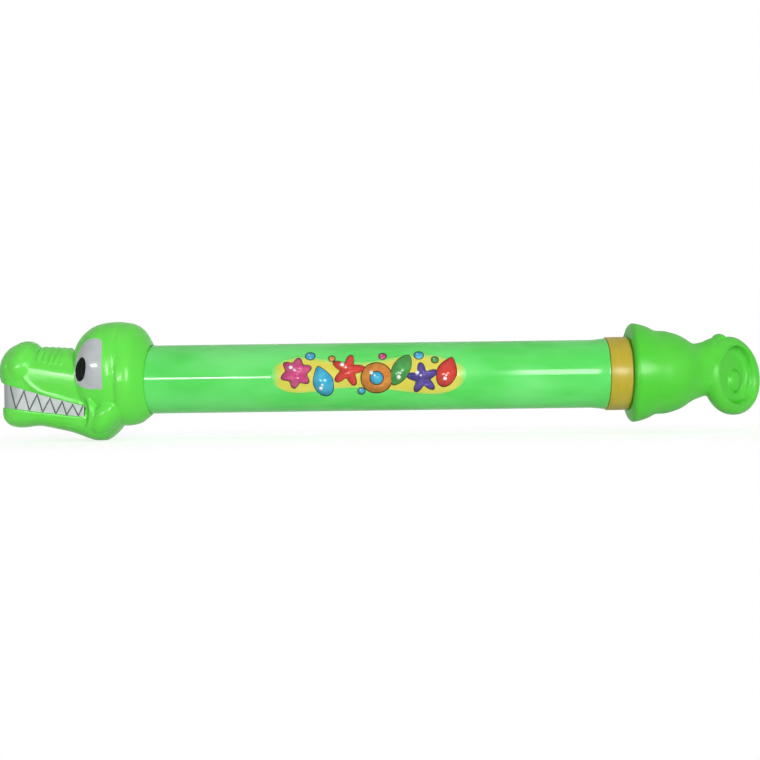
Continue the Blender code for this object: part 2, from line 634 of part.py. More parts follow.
def water_way():
    """The plug that closes the barrel's front, its seal, the spout and the nozzle tip in the mouth."""
    radius = BORE_R - FIT
    front = BARREL_FRONT_X - FIT
    groove_x = BARREL_FRONT_X + PLUG_LENGTH * 0.6
    groove_r = radius - SEAL_THICKNESS - FIT
    groove_w = SEAL_THICKNESS / 2 + FIT
    plug = turned("nozzle_plug", [
        (front - PLUG_FLANGE, 0.0), (front - PLUG_FLANGE, BARREL_R - FIT), (front, BARREL_R - FIT),
        (front, radius), (groove_x - groove_w, radius), (groove_x - groove_w, groove_r),
        (groove_x + groove_w, groove_r), (groove_x + groove_w, radius), (PLUG_REAR_X - MM, radius),
        (PLUG_REAR_X, radius - MM), (PLUG_REAR_X, 0.0)])
    hub_r = SPOUT_OD / 2 + FIT + PLUG_HUB_WALL
    hub_x = front - PLUG_FLANGE - PLUG_HUB_LENGTH
    hub = turned("hub", [(hub_x, 0.0), (hub_x, hub_r - 0.6 * MM), (hub_x + 0.6 * MM, hub_r),
                         (front - MM, hub_r), (front - MM, 0.0)], -SPOUT_DROP, SMALL_SEGMENTS)
    combine(plug, hub, "UNION")
    seat_r = SPOUT_OD / 2 + FIT
    seat_x = front - PLUG_FLANGE
    bore_r = SPOUT_BORE / 2
    way = turned("way", [
        (hub_x - MM, 0.0), (hub_x - MM, seat_r), (seat_x, seat_r), (seat_x, bore_r),
        (PLUG_REAR_X - 3 * MM, bore_r), (PLUG_REAR_X + MM, 2 * bore_r), (PLUG_REAR_X + MM, 0.0)],
        -SPOUT_DROP, SMALL_SEGMENTS)
    combine(plug, way, "DIFFERENCE")
    seal_r = SEAL_THICKNESS / 2
    seal = turned("plug_seal", ring_section(groove_x, BORE_R - FIT - seal_r, seal_r))
    face_x = NOSE_X + JAW[0][0] * HEAD_STEP + TEETH_RECESS - 0.5 * MM
    step_x = face_x + NOZZLE_FACE_THICKNESS
    spout_r = SPOUT_OD / 2
    spout = turned("spout_tube", [
        (step_x + FIT, bore_r), (step_x + FIT, spout_r), (seat_x - FIT, spout_r), (seat_x - FIT, bore_r)],
        -SPOUT_DROP, SMALL_SEGMENTS)
    stem_r = bore_r - FIT
    jet_r = NOZZLE_ORIFICE / 2
    tip = turned("nozzle_tip", [
        (face_x, jet_r), (face_x, NOZZLE_OD / 2 - 0.5 * MM), (face_x + 0.5 * MM, NOZZLE_OD / 2),
        (step_x, NOZZLE_OD / 2), (step_x, stem_r), (step_x + NOZZLE_STEM_LENGTH, stem_r),
        (step_x + NOZZLE_STEM_LENGTH, jet_r)], -SPOUT_DROP, SMALL_SEGMENTS)
    return plug, seal, spout, tip


def barrel_tube():
    """The tube that holds the water, belled at the rear."""
    bell_x = BARREL_REAR_X - FIT - BELL_LENGTH
    rear = BARREL_REAR_X - FIT
    bell_middle = (bell_x + 0.5 * BELL_LENGTH, BARREL_R + 0.25 * BELL_RISE)
    outer = [(BARREL_FRONT_X, BARREL_R), (bell_x, BARREL_R), bell_middle, (rear, BARREL_R + BELL_RISE)]
    inner = [(x, r - BARREL_WALL) for x, r in reversed(outer)]
    return turned("barrel_tube", outer + inner, 0.0, BARREL_SEGMENTS)


def collar_pieces():
    """The collar on the barrel's rear, its spigot inside the barrel, and the bush that guides the rod."""
    spigot_r = BORE_R - FIT
    bell_x = BARREL_REAR_X - FIT - BELL_LENGTH
    seat_r = BORE_R + BELL_RISE - FIT
    bush_r = ROD_R + RUNNING_FIT + BUSH_WALL
    hole = bush_r + FIT
    outer_r = BARREL_R + COLLAR_RISE
    lip = BUSH_FLANGE + FIT
    flange_r = bush_r + BUSH_FLANGE_RISE + FIT
    collar = turned("rear_collar", [
        (SPIGOT_FRONT_X, flange_r), (SPIGOT_FRONT_X, spigot_r - MM), (SPIGOT_FRONT_X + MM, spigot_r),
        (bell_x, spigot_r), (bell_x + 0.5 * BELL_LENGTH, spigot_r + 0.25 * BELL_RISE),
        (BARREL_REAR_X, seat_r),
        (BARREL_REAR_X, outer_r - 0.6 * MM), (BARREL_REAR_X + 0.8 * MM, outer_r),
        (COLLAR_REAR_X - 1.2 * MM, outer_r), (COLLAR_REAR_X, outer_r - 1.2 * MM), (COLLAR_REAR_X, hole),
        (SPIGOT_FRONT_X + lip, hole), (SPIGOT_FRONT_X + lip, flange_r)])
    bore = ROD_R + RUNNING_FIT
    step_x = SPIGOT_FRONT_X + BUSH_FLANGE
    rear = COLLAR_REAR_X - 0.5 * MM
    bush = turned("rod_guide_bush", [
        (SPIGOT_FRONT_X, bore + 0.5 * MM), (SPIGOT_FRONT_X, flange_r - FIT), (step_x, flange_r - FIT),
        (step_x, bush_r), (rear, bush_r), (rear, bore), (SPIGOT_FRONT_X + 0.5 * MM, bore)])
    return collar, bush


def piston_pieces():
    """The piston, its seal, and the screw it turns on."""
    radius = BORE_R - RUNNING_FIT - 0.2 * MM
    groove_x = PISTON_X + PISTON_LENGTH / 2
    groove_w = SEAL_THICKNESS / 2 + FIT
    seal_r = SEAL_THICKNESS / 2
    seal_major = BORE_R - RUNNING_FIT - seal_r
    groove_r = seal_major - seal_r - FIT
    well_r = SCREW_HEAD_OD / 2 + RUNNING_FIT
    well_x = PISTON_X + SCREW_HEAD_HEIGHT + 2 * RUNNING_FIT
    hole = SCREW_SHANK_OD / 2 + RUNNING_FIT
    piston = turned("piston", [
        (PISTON_X, well_r), (PISTON_X, radius - MM), (PISTON_X + MM, radius), (groove_x - groove_w, radius),
        (groove_x - groove_w, groove_r), (groove_x + groove_w, groove_r), (groove_x + groove_w, radius),
        (PISTON_REAR_X - MM, radius), (PISTON_REAR_X, radius - MM), (PISTON_REAR_X, hole), (well_x, hole),
        (well_x, well_r)])
    seal = turned("piston_seal", ring_section(groove_x, seal_major, seal_r))
    head_x = PISTON_X + RUNNING_FIT
    shank_x = head_x + SCREW_HEAD_HEIGHT
    shank_r = SCREW_SHANK_OD / 2
    head_r = SCREW_HEAD_OD / 2
    tip_x = shank_x + SCREW_LENGTH
    screw = turned("piston_screw", [
        (head_x, 0.0), (head_x, head_r * 0.7), (head_x + 0.35 * SCREW_HEAD_HEIGHT, head_r), (shank_x, head_r),
        (shank_x, shank_r), (tip_x - 2 * MM, shank_r), (tip_x, 0.3 * shank_r), (tip_x, 0.0)],
        0.0, SMALL_SEGMENTS)
    for turn in (0.0, math.pi / 2):
        bm = bmesh.new()
        size = Matrix.Diagonal((1.6 * MM, 5.2 * MM, 1.0 * MM, 1.0))
        place = Matrix.Translation((head_x, 0.0, 0.0)) @ Matrix.Rotation(turn, 4, "X")
        bmesh.ops.create_cube(bm, size=1.0, matrix=place @ size)
        combine(screw, solid("slot", bm), "DIFFERENCE")
    return piston, seal, screw


def rod_pieces():
    """The plunger rod, the plug in its front end and the washer that stops it at the collar."""
    rod = turned("plunger_rod", [(ROD_FRONT_X, ROD_BORE_R), (ROD_FRONT_X, ROD_R), (ROD_REAR_X, ROD_R),
                                 (ROD_REAR_X, ROD_BORE_R)], 0.0, TURNED_SEGMENTS)
    flange_x = PISTON_REAR_X + FIT
    stem_r = ROD_BORE_R - FIT
    hole = SCREW_SHANK_OD / 2 + FIT
    stem_x = flange_x + ROD_PLUG_FLANGE
    end_x = stem_x + ROD_PLUG_LENGTH
    plug = turned("rod_plug", [
        (flange_x, hole), (flange_x, ROD_R), (stem_x, ROD_R), (stem_x, stem_r), (end_x - MM, stem_r),
        (end_x, stem_r - MM), (end_x, hole)], 0.0, TURNED_SEGMENTS)
    inner = ROD_R + FIT
    washer_x = PISTON_REAR_X + FIT
    washer_end = washer_x + WASHER_THICKNESS
    washer = turned("stop_washer", [
        (washer_x, inner), (washer_x, WASHER_OD / 2), (washer_end - 0.8 * MM, WASHER_OD / 2),
        (washer_end, WASHER_OD / 2 - 0.8 * MM), (washer_end, inner)], 0.0, TURNED_SEGMENTS)
    return rod, plug, washer


def coil_point(ring, turn):
    """A point in the plane of the tail's curl."""
    yaw = math.radians(COIL_TURN_DEGREES)
    along = Vector((math.cos(yaw), math.sin(yaw), 0.0))
    centre = Vector((TAIL_X + COIL_PLACE * MM, COIL_SIDE * MM, COIL_HEIGHT * MM))
    return centre + ring * (math.cos(turn) * along + math.sin(turn) * Vector((0.0, 0.0, 1.0)))


def coil_axis():
    """The direction the curl's open face looks."""
    yaw = math.radians(COIL_TURN_DEGREES)
    return Vector((math.sin(yaw), -math.cos(yaw), 0.0))


def coil_disc(name):
    """The body of the curl: a thick rim round a dished face, the same on both sides."""
    yaw = math.radians(COIL_TURN_DEGREES)
    bead = COIL_BEAD / 2
    ring = COIL_R - bead
    rim = [(ring + bead * math.cos(t), COIL_SWELL * bead * math.sin(t))
           for t in [math.radians(38.0 * i) for i in range(1, 5)]]
    face = [(ring + bead, 0.0)] + rim + [(ring - 1.25 * bead, COIL_DISH), (0.0, COIL_DISH)]
    near = [(level, radius) for radius, level in face]
    far = [(-level, radius) for radius, level in reversed(face[1:])]
    profile = far + near
    disc = turned(name, profile, 0.0, TURNED_SEGMENTS + 4)
    turn = Matrix.Rotation(yaw - math.pi / 2, 4, "Z")
    disc.data.transform(Matrix.Translation(coil_point(0.0, 0.0)) @ turn)
    return disc


def coil_bead(name):
    """The inner end of the tail: a bead that winds in over the dished face."""
    bead = COIL_BEAD / 2
    start = COIL_R - 2.0 * bead
    path, radii = [], []
    for i in range(20):
        share = i / 19
        turn = math.radians(170.0 - 420.0 * share)
        path.append(coil_point(start * (1.0 - 0.72 * share), turn))
        radii.append(bead * (0.90 - 0.15 * share))
    return swept(name, path, radii, coil_axis(), sides=8, depth=COIL_DISH * 1.35 / bead)


def coil_tip(name):
    """The rounded tip of the tail in the middle of the curl."""
    bm = bmesh.new()
    yaw = math.radians(COIL_TURN_DEGREES)
    place = Matrix.Translation(coil_point(0.1 * COIL_R, math.radians(-75.0))) @ Matrix.Rotation(yaw, 4, "Z")
    shape = Matrix.Diagonal((0.2 * COIL_R, COIL_DISH * 1.9, 0.34 * COIL_R, 1.0))
    bmesh.ops.create_uvsphere(bm, u_segments=18, v_segments=9, radius=1.0, matrix=place @ shape)
    return solid(name, bm)


def tail_shell():
    """The tail handle: a hollow flanged base, a neck, and a curl that winds in on itself."""
    base = [(TAIL_X + x * MM, share * TAIL_FLANGE_R) for x, share in TAIL_BASE]
    shell = turned("tail_shell", [(base[0][0], 0.0)] + base + [(base[-1][0], 0.0)], 0.0, TURNED_SEGMENTS + 6)
    rings = [oval((TAIL_X + x * MM, y * MM, z * MM), w * MM, h * MM, h * MM, 2.0, 28)
             for x, y, z, w, h in TAIL_NECK]
    combine(shell, lofted("neck", rings), "UNION")
    for form in (coil_disc("disc"), coil_bead("bead"), coil_tip("tip")):
        combine(shell, form, "UNION")
    scute = [r * MM for r in SCUTE_RADII]
    place = Vector((TAIL_X, 0.0, 0.0)) + Vector(SCUTE_PLACE) * MM
    combine(shell, ellipsoid("scute", place, scute, 0.0, 14, 8), "UNION")
    hub_r = TAIL_HUB_OD / 2 + FIT
    seat_x = TAIL_X + TAIL_HUB_DISC + 3 * FIT
    hollow = [(TAIL_X - 5 * MM, 0.0), (TAIL_X - 5 * MM, hub_r), (seat_x, hub_r)]
    hollow += [(x, r - TAIL_WALL) for x, r in base if seat_x + 2 * MM < x < base[-1][0] - 3 * MM][::3]
    hollow.append((hollow[-1][0], 0.0))
    return combine(shell, turned("hollow", hollow), "DIFFERENCE")


def tail_fittings():
    """The hub that joins rod and tail, and the pin across them."""
    hole = ROD_R + FIT
    tube_r = hole + TAIL_HUB_WALL
    disc_x = TAIL_X + TAIL_HUB_DISC
    rear = TAIL_X + TAIL_HUB_LENGTH
    hub = turned("tail_hub", [
        (TAIL_X, hole), (TAIL_X, TAIL_HUB_OD / 2 - 0.6 * MM), (TAIL_X + 0.6 * MM, TAIL_HUB_OD / 2),
        (disc_x, TAIL_HUB_OD / 2), (disc_x, tube_r), (rear, tube_r), (rear, hole)])
    pin_x = TAIL_X + PIN_PLACE
    rod = bpy.data.objects["plunger_rod"]
    for target in (hub, rod):
        combine(target, pin_rod("drill", pin_x, PIN_OD / 2 + FIT, 2 * tube_r), "DIFFERENCE")
    pin = pin_rod("cross_pin", pin_x, PIN_OD / 2, 2 * (tube_r - 0.5 * MM))
    return hub, pin


def pin_rod(name, place, radius, length):
    """A round rod across the axis."""
    rings = []
    for y in (-length / 2, length / 2):
        turns = [2 * math.pi * i / 20 for i in range(20)]
        rings.append([Vector((place + radius * math.cos(t), y, radius * math.sin(t))) for t in turns])
    return lofted(name, rings)


def finish(name, colour, roughness, metallic=0.0):
    """A surface with one colour, given as 0-255 values."""
    material = bpy.data.materials.new(name)
    material.use_nodes = True
    shader = material.node_tree.nodes["Principled BSDF"]
    linear = [(c / 255 / 12.92) if c <= 10 else ((c / 255 + 0.055) / 1.055) ** 2.4 for c in colour]
    shader.inputs["Base Color"].default_value = (*linear, 1.0)
    shader.inputs["Roughness"].default_value = roughness
    shader.inputs["Metallic"].default_value = metallic
    return material


def dress(pieces, holder, material):
    """Hangs pieces from an empty and gives each its own copy of a finish."""
    for piece in pieces:
        piece.parent = holder
        piece.data.materials.clear()
        own = material.copy()
        own.name = f"{piece.name}_{material.name}"
        piece.data.materials.append(own)
        piece.data.shade_smooth()
        piece.data.set_sharp_from_angle(angle=math.radians(32.0))


def empty(name, place, parent=None):
    """An empty that pieces hang from."""
    holder = bpy.data.objects.new(name, None)
    holder.empty_display_size = 10 * MM
    holder.location = place
    holder.parent = parent
    bpy.context.scene.collection.objects.link(holder)
    return holder


def main():
    for obj in list(bpy.data.objects):
        bpy.data.objects.remove(obj)
    axis = empty("barrel_axis", (0.0, 0.0, AXIS_HEIGHT))
    piston_axis = empty("piston_axis", (PISTON_X, 0.0, 0.0), axis)
    plunger_axis = empty("plunger_axis", (0.0, 0.0, 0.0), piston_axis)

    green = finish("moulded_green", (104, 222, 80), 0.28)
    tube_green = finish("tube_green", (98, 218, 104), 0.2)
    tail_green = finish("tail_green", (86, 205, 60), 0.36)
    yellow = finish("yellow", (194, 182, 52), 0.4)
    white = finish("white", (226, 228, 230), 0.35)
    black = finish("black", (19, 22, 18), 0.25)
    natural = finish("natural_plastic", (214, 214, 204), 0.4)
    rubber = finish("seal_rubber", (38, 38, 40), 0.7)
    steel = finish("zinc_steel", (190, 192, 196), 0.35, 1.0)

    head_left = head_half()
    head_right = mirrored(head_left, "head_shell_right")
    white_left, pupil_left = eye_pieces()
    white_right = mirrored(white_left, "eye_white_right")
    pupil_right = mirrored(pupil_left, "pupil_right")
    band = teeth_band()
    plug, plug_seal, spout, tip = water_way()
    tube = barrel_tube()
    collar, bush = collar_pieces()
    piston, piston_seal, screw = piston_pieces()
    rod, rod_plug, washer = rod_pieces()
    hub, pin = tail_fittings()
    shell = tail_shell()

    dress((head_left, head_right), axis, green)
    dress((white_left, white_right, band), axis, white)
    dress((pupil_left, pupil_right), axis, black)
    dress((tube,), axis, tube_green)
    dress((plug, spout, tip, bush), axis, natural)
    dress((plug_seal,), axis, rubber)
    dress((collar,), axis, yellow)
    dress((piston,), piston_axis, natural)
    dress((piston_seal,), piston_axis, rubber)
    dress((rod, rod_plug, hub), plunger_axis, natural)
    dress((washer,), plunger_axis, rubber)
    dress((screw, pin), plunger_axis, steel)
    dress((shell,), plunger_axis, tail_green)
    for piece in bpy.data.objects:
        if piece.parent is piston_axis or piece.parent is plunger_axis:
            if piece.type == "MESH":
                piece.data.transform(Matrix.Translation((-PISTON_X, 0.0, 0.0)))


if __name__ == "__main__":
    main()
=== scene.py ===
"""Looks of a water squirter with a crocodile head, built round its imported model.

The barrel runs along X with the nose towards -X, and the camera stands on the -Y side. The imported
model is in metres. Form tables are in millimetres: back from the nose, left (towards -Y) and up
from the barrel's axis for the head, and back from the handle's front for the tail.
"""

import logging
import math
from dataclasses import dataclass
from enum import Enum

import bmesh
import bpy
from mathutils import Matrix, Vector, noise


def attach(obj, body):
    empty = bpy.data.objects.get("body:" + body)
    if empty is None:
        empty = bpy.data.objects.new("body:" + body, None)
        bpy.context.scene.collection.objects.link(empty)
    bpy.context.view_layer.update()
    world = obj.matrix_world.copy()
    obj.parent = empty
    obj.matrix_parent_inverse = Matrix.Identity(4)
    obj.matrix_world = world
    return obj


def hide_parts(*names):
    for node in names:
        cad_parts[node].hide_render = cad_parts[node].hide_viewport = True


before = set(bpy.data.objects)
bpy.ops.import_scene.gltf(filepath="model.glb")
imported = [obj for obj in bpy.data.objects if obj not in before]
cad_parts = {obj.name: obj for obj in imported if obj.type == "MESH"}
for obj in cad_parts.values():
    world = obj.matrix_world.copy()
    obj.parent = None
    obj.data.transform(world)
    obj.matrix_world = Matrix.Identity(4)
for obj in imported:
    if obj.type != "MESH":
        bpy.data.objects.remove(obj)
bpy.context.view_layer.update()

LOG = logging.getLogger("squirter")
MM = 0.001
CLEAR = 50.0 * MM  # how far a cutting block reaches past what it cuts
# edges sharper than this, in degrees, stay crisp on turned, moulded and cut pieces
TURNED_EDGE, MOULDED_EDGE, CUT_EDGE = 34.0, 50.0, 30.0
BEVEL_EDGE = 38.0  # corners of turned pieces that are sharper than this are rounded
# reach and size of the rounded end of a bead, as shares of its radius
CAP_REACH, CAP_SIZE = 0.6, 0.55

Point = tuple[float, float]
Row = tuple[float, ...]
Rows = tuple[Row, ...]
Form = tuple[Row, Row, float]
Ring = list[Vector]
Piece = bpy.types.Object
Tree = bpy.types.NodeTree
Socket = bpy.types.NodeSocket


class Side(Enum):
    """The two sides of the head, as the sign of Y."""

    LEFT = -1
    RIGHT = 1


class Cut(Enum):
    """What a Boolean does with its tool."""

    REMOVE = "DIFFERENCE"
    KEEP = "INTERSECT"


class Body(Enum):
    """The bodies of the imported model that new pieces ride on."""

    BARREL = "barrel_body"
    PLUNGER = "plunger_body"


# ---------------------------------------------------------------- sizes shared by the classes


@dataclass(frozen=True)
class Places:
    """Where the main pieces begin and end along the barrel's axis, and sizes that they share, in metres."""

    nose: float = -0.281666
    neck: float = -0.170466
    barrel_front: float = -0.210498
    barrel_rear: float = 0.164334
    collar_rear: float = 0.177734
    tail: float = 0.178134
    axis: float = 0.0436
    barrel_r: float = 0.025
    rod_r: float = 0.008
    nozzle_drop: float = 0.0105
    fit: float = 0.0003


AT = Places()


# ---------------------------------------------------------------- modelling, as by hand


def deselect() -> None:
    """Leaves nothing selected, so that an operator acts on the new piece alone."""
    if bpy.context.mode != "OBJECT":
        bpy.ops.object.mode_set(mode="OBJECT")
    bpy.ops.object.select_all(action="DESELECT")


def pick(*objs: Piece) -> None:
    """Selects these objects alone and makes the first one active."""
    deselect()
    for obj in objs:
        obj.select_set(True)
    bpy.context.view_layer.objects.active = objs[0]


def fresh(name: str) -> Piece:
    """The object that the last operator made, under its own name."""
    obj = bpy.context.object
    obj.name = name
    return obj


def smoothed(obj: Piece, degrees: float) -> Piece:
    """Shades a piece smooth, apart from edges sharper than an angle."""
    pick(obj)
    bpy.ops.object.shade_smooth_by_angle(angle=math.radians(degrees))
    return obj


def modify(obj: Piece, kind: str, **settings: object) -> Piece:
    """Adds a modifier of a kind with its settings, applies it and returns the piece."""
    pick(obj)
    modifier = obj.modifiers.new(kind.title(), kind)
    for key, value in settings.items():
        setattr(modifier, key, value)
    bpy.ops.object.modifier_apply(modifier=modifier.name)
    return obj


def remove(*objs: Piece) -> None:
    """Deletes helper objects with their meshes."""
    for obj in objs:
        bpy.data.meshes.remove(obj.data)


def combine(target: Piece, tool: Piece, cut: Cut, keep: bool = False) -> Piece:
    """Cuts or intersects one closed piece with another, its tool, and returns it. The tool is kept if asked."""
    modify(target, "BOOLEAN", operation=cut.value, object=tool, solver="MANIFOLD")
    if not keep:
        remove(tool)
    return target


def copied(obj: Piece, name: str) -> Piece:
    """A copy of a piece with its own mesh."""
    pick(obj)
    bpy.ops.object.duplicate()
    return fresh(name)


def mirrored(obj: Piece, name: str) -> Piece:
    """A copy of a piece on the other side of the middle plane, faces outward."""
    twin = copied(obj, name)
    twin.data.transform(Matrix.Scale(-1.0, 4, Vector((0.0, 1.0, 0.0))))
    twin.data.flip_normals()
    return twin


def joined(name: str, pieces: list[Piece]) -> Piece:
    """Several meshes as one object."""
    pick(*pieces)
    bpy.ops.object.join()
    return fresh(name)


def fused(obj: Piece, voxel: float, rounds: int) -> Piece:
    """Makes one moulded skin of forms that overlap, in facets of a size, smoothed where the forms meet."""
    modify(obj, "REMESH", mode="VOXEL", voxel_size=voxel, use_smooth_shade=True)
    if rounds:
        modify(obj, "SMOOTH", factor=0.5, iterations=rounds)
    return obj


def smooth_rows(rows: Rows, steps: int) -> list[Row]:
    """More rows on a smooth curve through the given ones.

    Args:
        rows: Rows of numbers.
        steps: How many rows replace each interval.

    Returns:
        The rows of the curve, the given ones among them.
    """
    last = len(rows) - 1
    slopes = []
    for i in range(len(rows)):
        low, high = max(i - 1, 0), min(i + 1, last)
        slopes.append([(b - a) / (high - low) for a, b in zip(rows[low], rows[high])])
    curve = []
    for i in range(last):
        for k in range(steps):
            t = k / steps
            a, b = 2 * t**3 - 3 * t**2 + 1, -2 * t**3 + 3 * t**2
            c, d = t**3 - 2 * t**2 + t, t**3 - t**2
            columns = zip(rows[i], rows[i + 1], slopes[i], slopes[i + 1])
            curve.append(tuple(a * p + b * q + c * m + d * n for p, q, m, n in columns))
    return curve + [tuple(rows[last])]


def place_ring(obj: Piece, ring: Ring) -> None:
    """Moves the selected ring of the piece in edit mode to its place, point by point."""
    bm = bmesh.from_edit_mesh(obj.data)
    layer = bm.verts.layers.int["turn"]
    for vert in bm.verts:
        if vert.select:
            vert.co = ring[vert[layer]]
    bmesh.update_edit_mesh(obj.data)


def lofted(name: str, rings: list[Ring], hollow: bool = False) -> Piece:
    """A closed skin drawn out of a circle, ring by ring.

    Args:
        name: The piece's name.
        rings: The rings' points, all of one count.
        hollow: Whether the last ring is bridged to the first, as on a tube's wall.

    Returns:
        The new object.
    """
    deselect()
    fill = "NOTHING" if hollow else "NGON"
    bpy.ops.mesh.primitive_circle_add(vertices=len(rings[0]), radius=MM, fill_type=fill)
    obj = fresh(name)
    turn = obj.data.attributes.new("turn", "INT", "POINT")
    turn.data.foreach_set("value", range(len(rings[0])))
    bpy.ops.object.mode_set(mode="EDIT")
    bpy.ops.mesh.select_all(action="SELECT")
    place_ring(obj, rings[0])
    for ring in rings[1:]:
        bpy.ops.mesh.extrude_region_move()
        place_ring(obj, ring)
    if hollow:
        bpy.ops.mesh.select_all(action="DESELECT")
        bpy.ops.mesh.select_mode(type="EDGE")
        bpy.ops.mesh.select_non_manifold()
        bpy.ops.mesh.bridge_edge_loops()
        bpy.ops.mesh.select_mode(type="VERT")
    bpy.ops.mesh.select_all(action="SELECT")
    bpy.ops.mesh.normals_make_consistent(inside=False)
    bpy.ops.object.mode_set(mode="OBJECT")
    obj.data.attributes.remove(obj.data.attributes["turn"])
    return obj


def angles(count: int, offset: float = 0.0) -> list[float]:
    """Even steps round a circle, the first one moved on by a share of a step."""
    return [2 * math.pi * (i + offset) / count for i in range(count)]


def round_ring(x: float, radius: float, height: float, count: int) -> Ring:
    """A circle across the barrel's axis."""
    return [Vector((x, radius * math.cos(t), height + radius * math.sin(t))) for t in angles(count)]


def tube_wall(front: float, rear: float, inner: float, outer: float) -> list[Point]:
    """The section of a plain tube, for turning."""
    return [(front, inner), (front, outer), (rear, outer), (rear, inner)]


def turned(name: str, profile: list[Point], height: float, count: int = 96, hollow: bool = True,
           edge: float = 0.0) -> Piece:
    """A piece turned about the X direction.

    Args:
        name: The piece's name.
        profile: Its section as (x, radius) points.
        height: The height of its axis.
        count: How many facets go round it.
        hollow: Whether the section is a closed loop off the axis.
        edge: How far its corners are rounded.

    Returns:
        The new object.
    """
    obj = lofted(name, [round_ring(x, r, height, count) for x, r in profile], hollow)
    if edge:
        limit = math.radians(BEVEL_EDGE)
        modify(obj, "BEVEL", width=edge, segments=3, limit_method="ANGLE", angle_limit=limit)
    return smoothed(obj, TURNED_EDGE)


def oval(place: Vector, half_width: float, up: float, down: float, power: float = 2.0, count: int = 72) -> Ring:
    """A rounded ring across the axis with its own reach up and down.

    Args:
        place: The ring's middle.
        half_width: Its reach to each side.
        up: Its reach upward.
        down: Its reach downward.
        power: Its squareness, where 2 is an ellipse.
        count: How many points it has.

    Returns:
        The ring.
    """
    ring = []
    for turn in angles(count, 0.5):
        c, s = math.cos(turn), math.sin(turn)
        y = half_width * math.copysign(abs(c) ** (2 / power), c)
        z = (up if s > 0 else down) * math.copysign(abs(s) ** (2 / power), s)
        ring.append(place + Vector((0.0, y, z)))
    return ring


def stretch(radii: Row, inset: float = 0.0) -> Matrix:
    """What gives a ball of radius 1 its three radii, in millimetres and less an inset."""
    return Matrix.Diagonal((*[(r - inset) * MM for r in radii], 1.0))


def ball(name: str, matrix: Matrix, count: int = 64) -> Piece:
    """A ball of radius 1 stretched, turned and placed by a matrix."""
    deselect()
    bpy.ops.mesh.primitive_uv_sphere_add(segments=count, ring_count=count // 2, radius=1.0)
    obj = fresh(name)
    obj.data.transform(matrix)
    return obj


def swept(name: str, path: Ring, radii: list[float], across: Vector, count: int = 20,
          depth: float = 1.0) -> Piece:
    """A bead along a path, with rounded ends.

    Args:
        name: The piece's name.
        path: The points that it follows.
        radii: Its radius at each point.
        across: The direction in which it may be deeper.
        count: How many facets go round it.
        depth: How much deeper it is that way.

    Returns:
        The new object.
    """
    rings, last = [], len(path) - 1
    for i, point in enumerate(path):
        tangent = (path[min(i + 1, last)] - path[max(i - 1, 0)]).normalized()
        out = (across - across.dot(tangent) * tangent).normalized()
        side = tangent.cross(out)
        ring = [point + radii[i] * (depth * math.cos(t) * out + math.sin(t) * side) for t in angles(count)]
        if 0 < i < last:
            rings.append(ring)
            continue
        way = -1.0 if i == 0 else 1.0
        middle = point + way * CAP_REACH * radii[i] * tangent
        cap = [middle + CAP_SIZE * (corner - point) for corner in ring]
        rings += [cap, ring] if i == 0 else [ring, cap]
    return lofted(name, rings)


def prism(name: str, outline: list[Point], low: float, high: float, across: bool = True) -> Piece:
    """A straight block from an outline.

    Args:
        name: The piece's name.
        outline: (x, z) points, or (x, y) points for an upright block.
        low: Where the block begins along Y, or along Z.
        high: Where it ends.
        across: Whether it runs along Y.

    Returns:
        The new object.
    """
    if across:
        rings = [[Vector((x, level, z)) for x, z in outline] for level in (low, high)]
    else:
        rings = [[Vector((x, y, level)) for x, y in outline] for level in (low, high)]
    return lofted(name, rings)


# ---------------------------------------------------------------- finishes


def linear(code: str) -> tuple[float, float, float, float]:
    """A colour for a shader from its sRGB hex value."""
    parts = [int(code[i:i + 2], 16) / 255 for i in (1, 3, 5)]
    lin = [p / 12.92 if p <= 0.04045 else ((p + 0.055) / 1.055) ** 2.4 for p in parts]
    return (lin[0], lin[1], lin[2], 1.0)


def per(size_mm: float) -> float:
    """The scale of a texture whose features are this many millimetres across."""
    return 1.0 / (size_mm * MM)


def add(tree: Tree, kind: str, inputs: dict[str | int, object], **settings: object) -> bpy.types.Node:
    """Adds a node with its settings, values and links.

    Args:
        tree: The material's node tree.
        kind: The node's type.
        inputs: Each input's value, or the output that it is linked to.
        settings: The node's own settings.

    Returns:
        The new node.
    """
    node = tree.nodes.new(kind)
    for key, value in settings.items():
        setattr(node, key, value)
    for key, value in inputs.items():
        if isinstance(value, Socket):
            tree.links.new(value, node.inputs[key])
        else:
            node.inputs[key].default_value = value
    return node


def bare_tree(owner: bpy.types.Material | bpy.types.World) -> Tree:
    """The emptied node tree of a new material or world."""
    owner.use_nodes = True
    owner.node_tree.nodes.clear()
    return owner.node_tree


def blend(tree: Tree, share: Socket, first: object, second: object) -> Socket:
    """Two colours mixed by a share."""
    return add(tree, "ShaderNodeMix", {0: share, 6: first, 7: second}, data_type="RGBA").outputs[2]


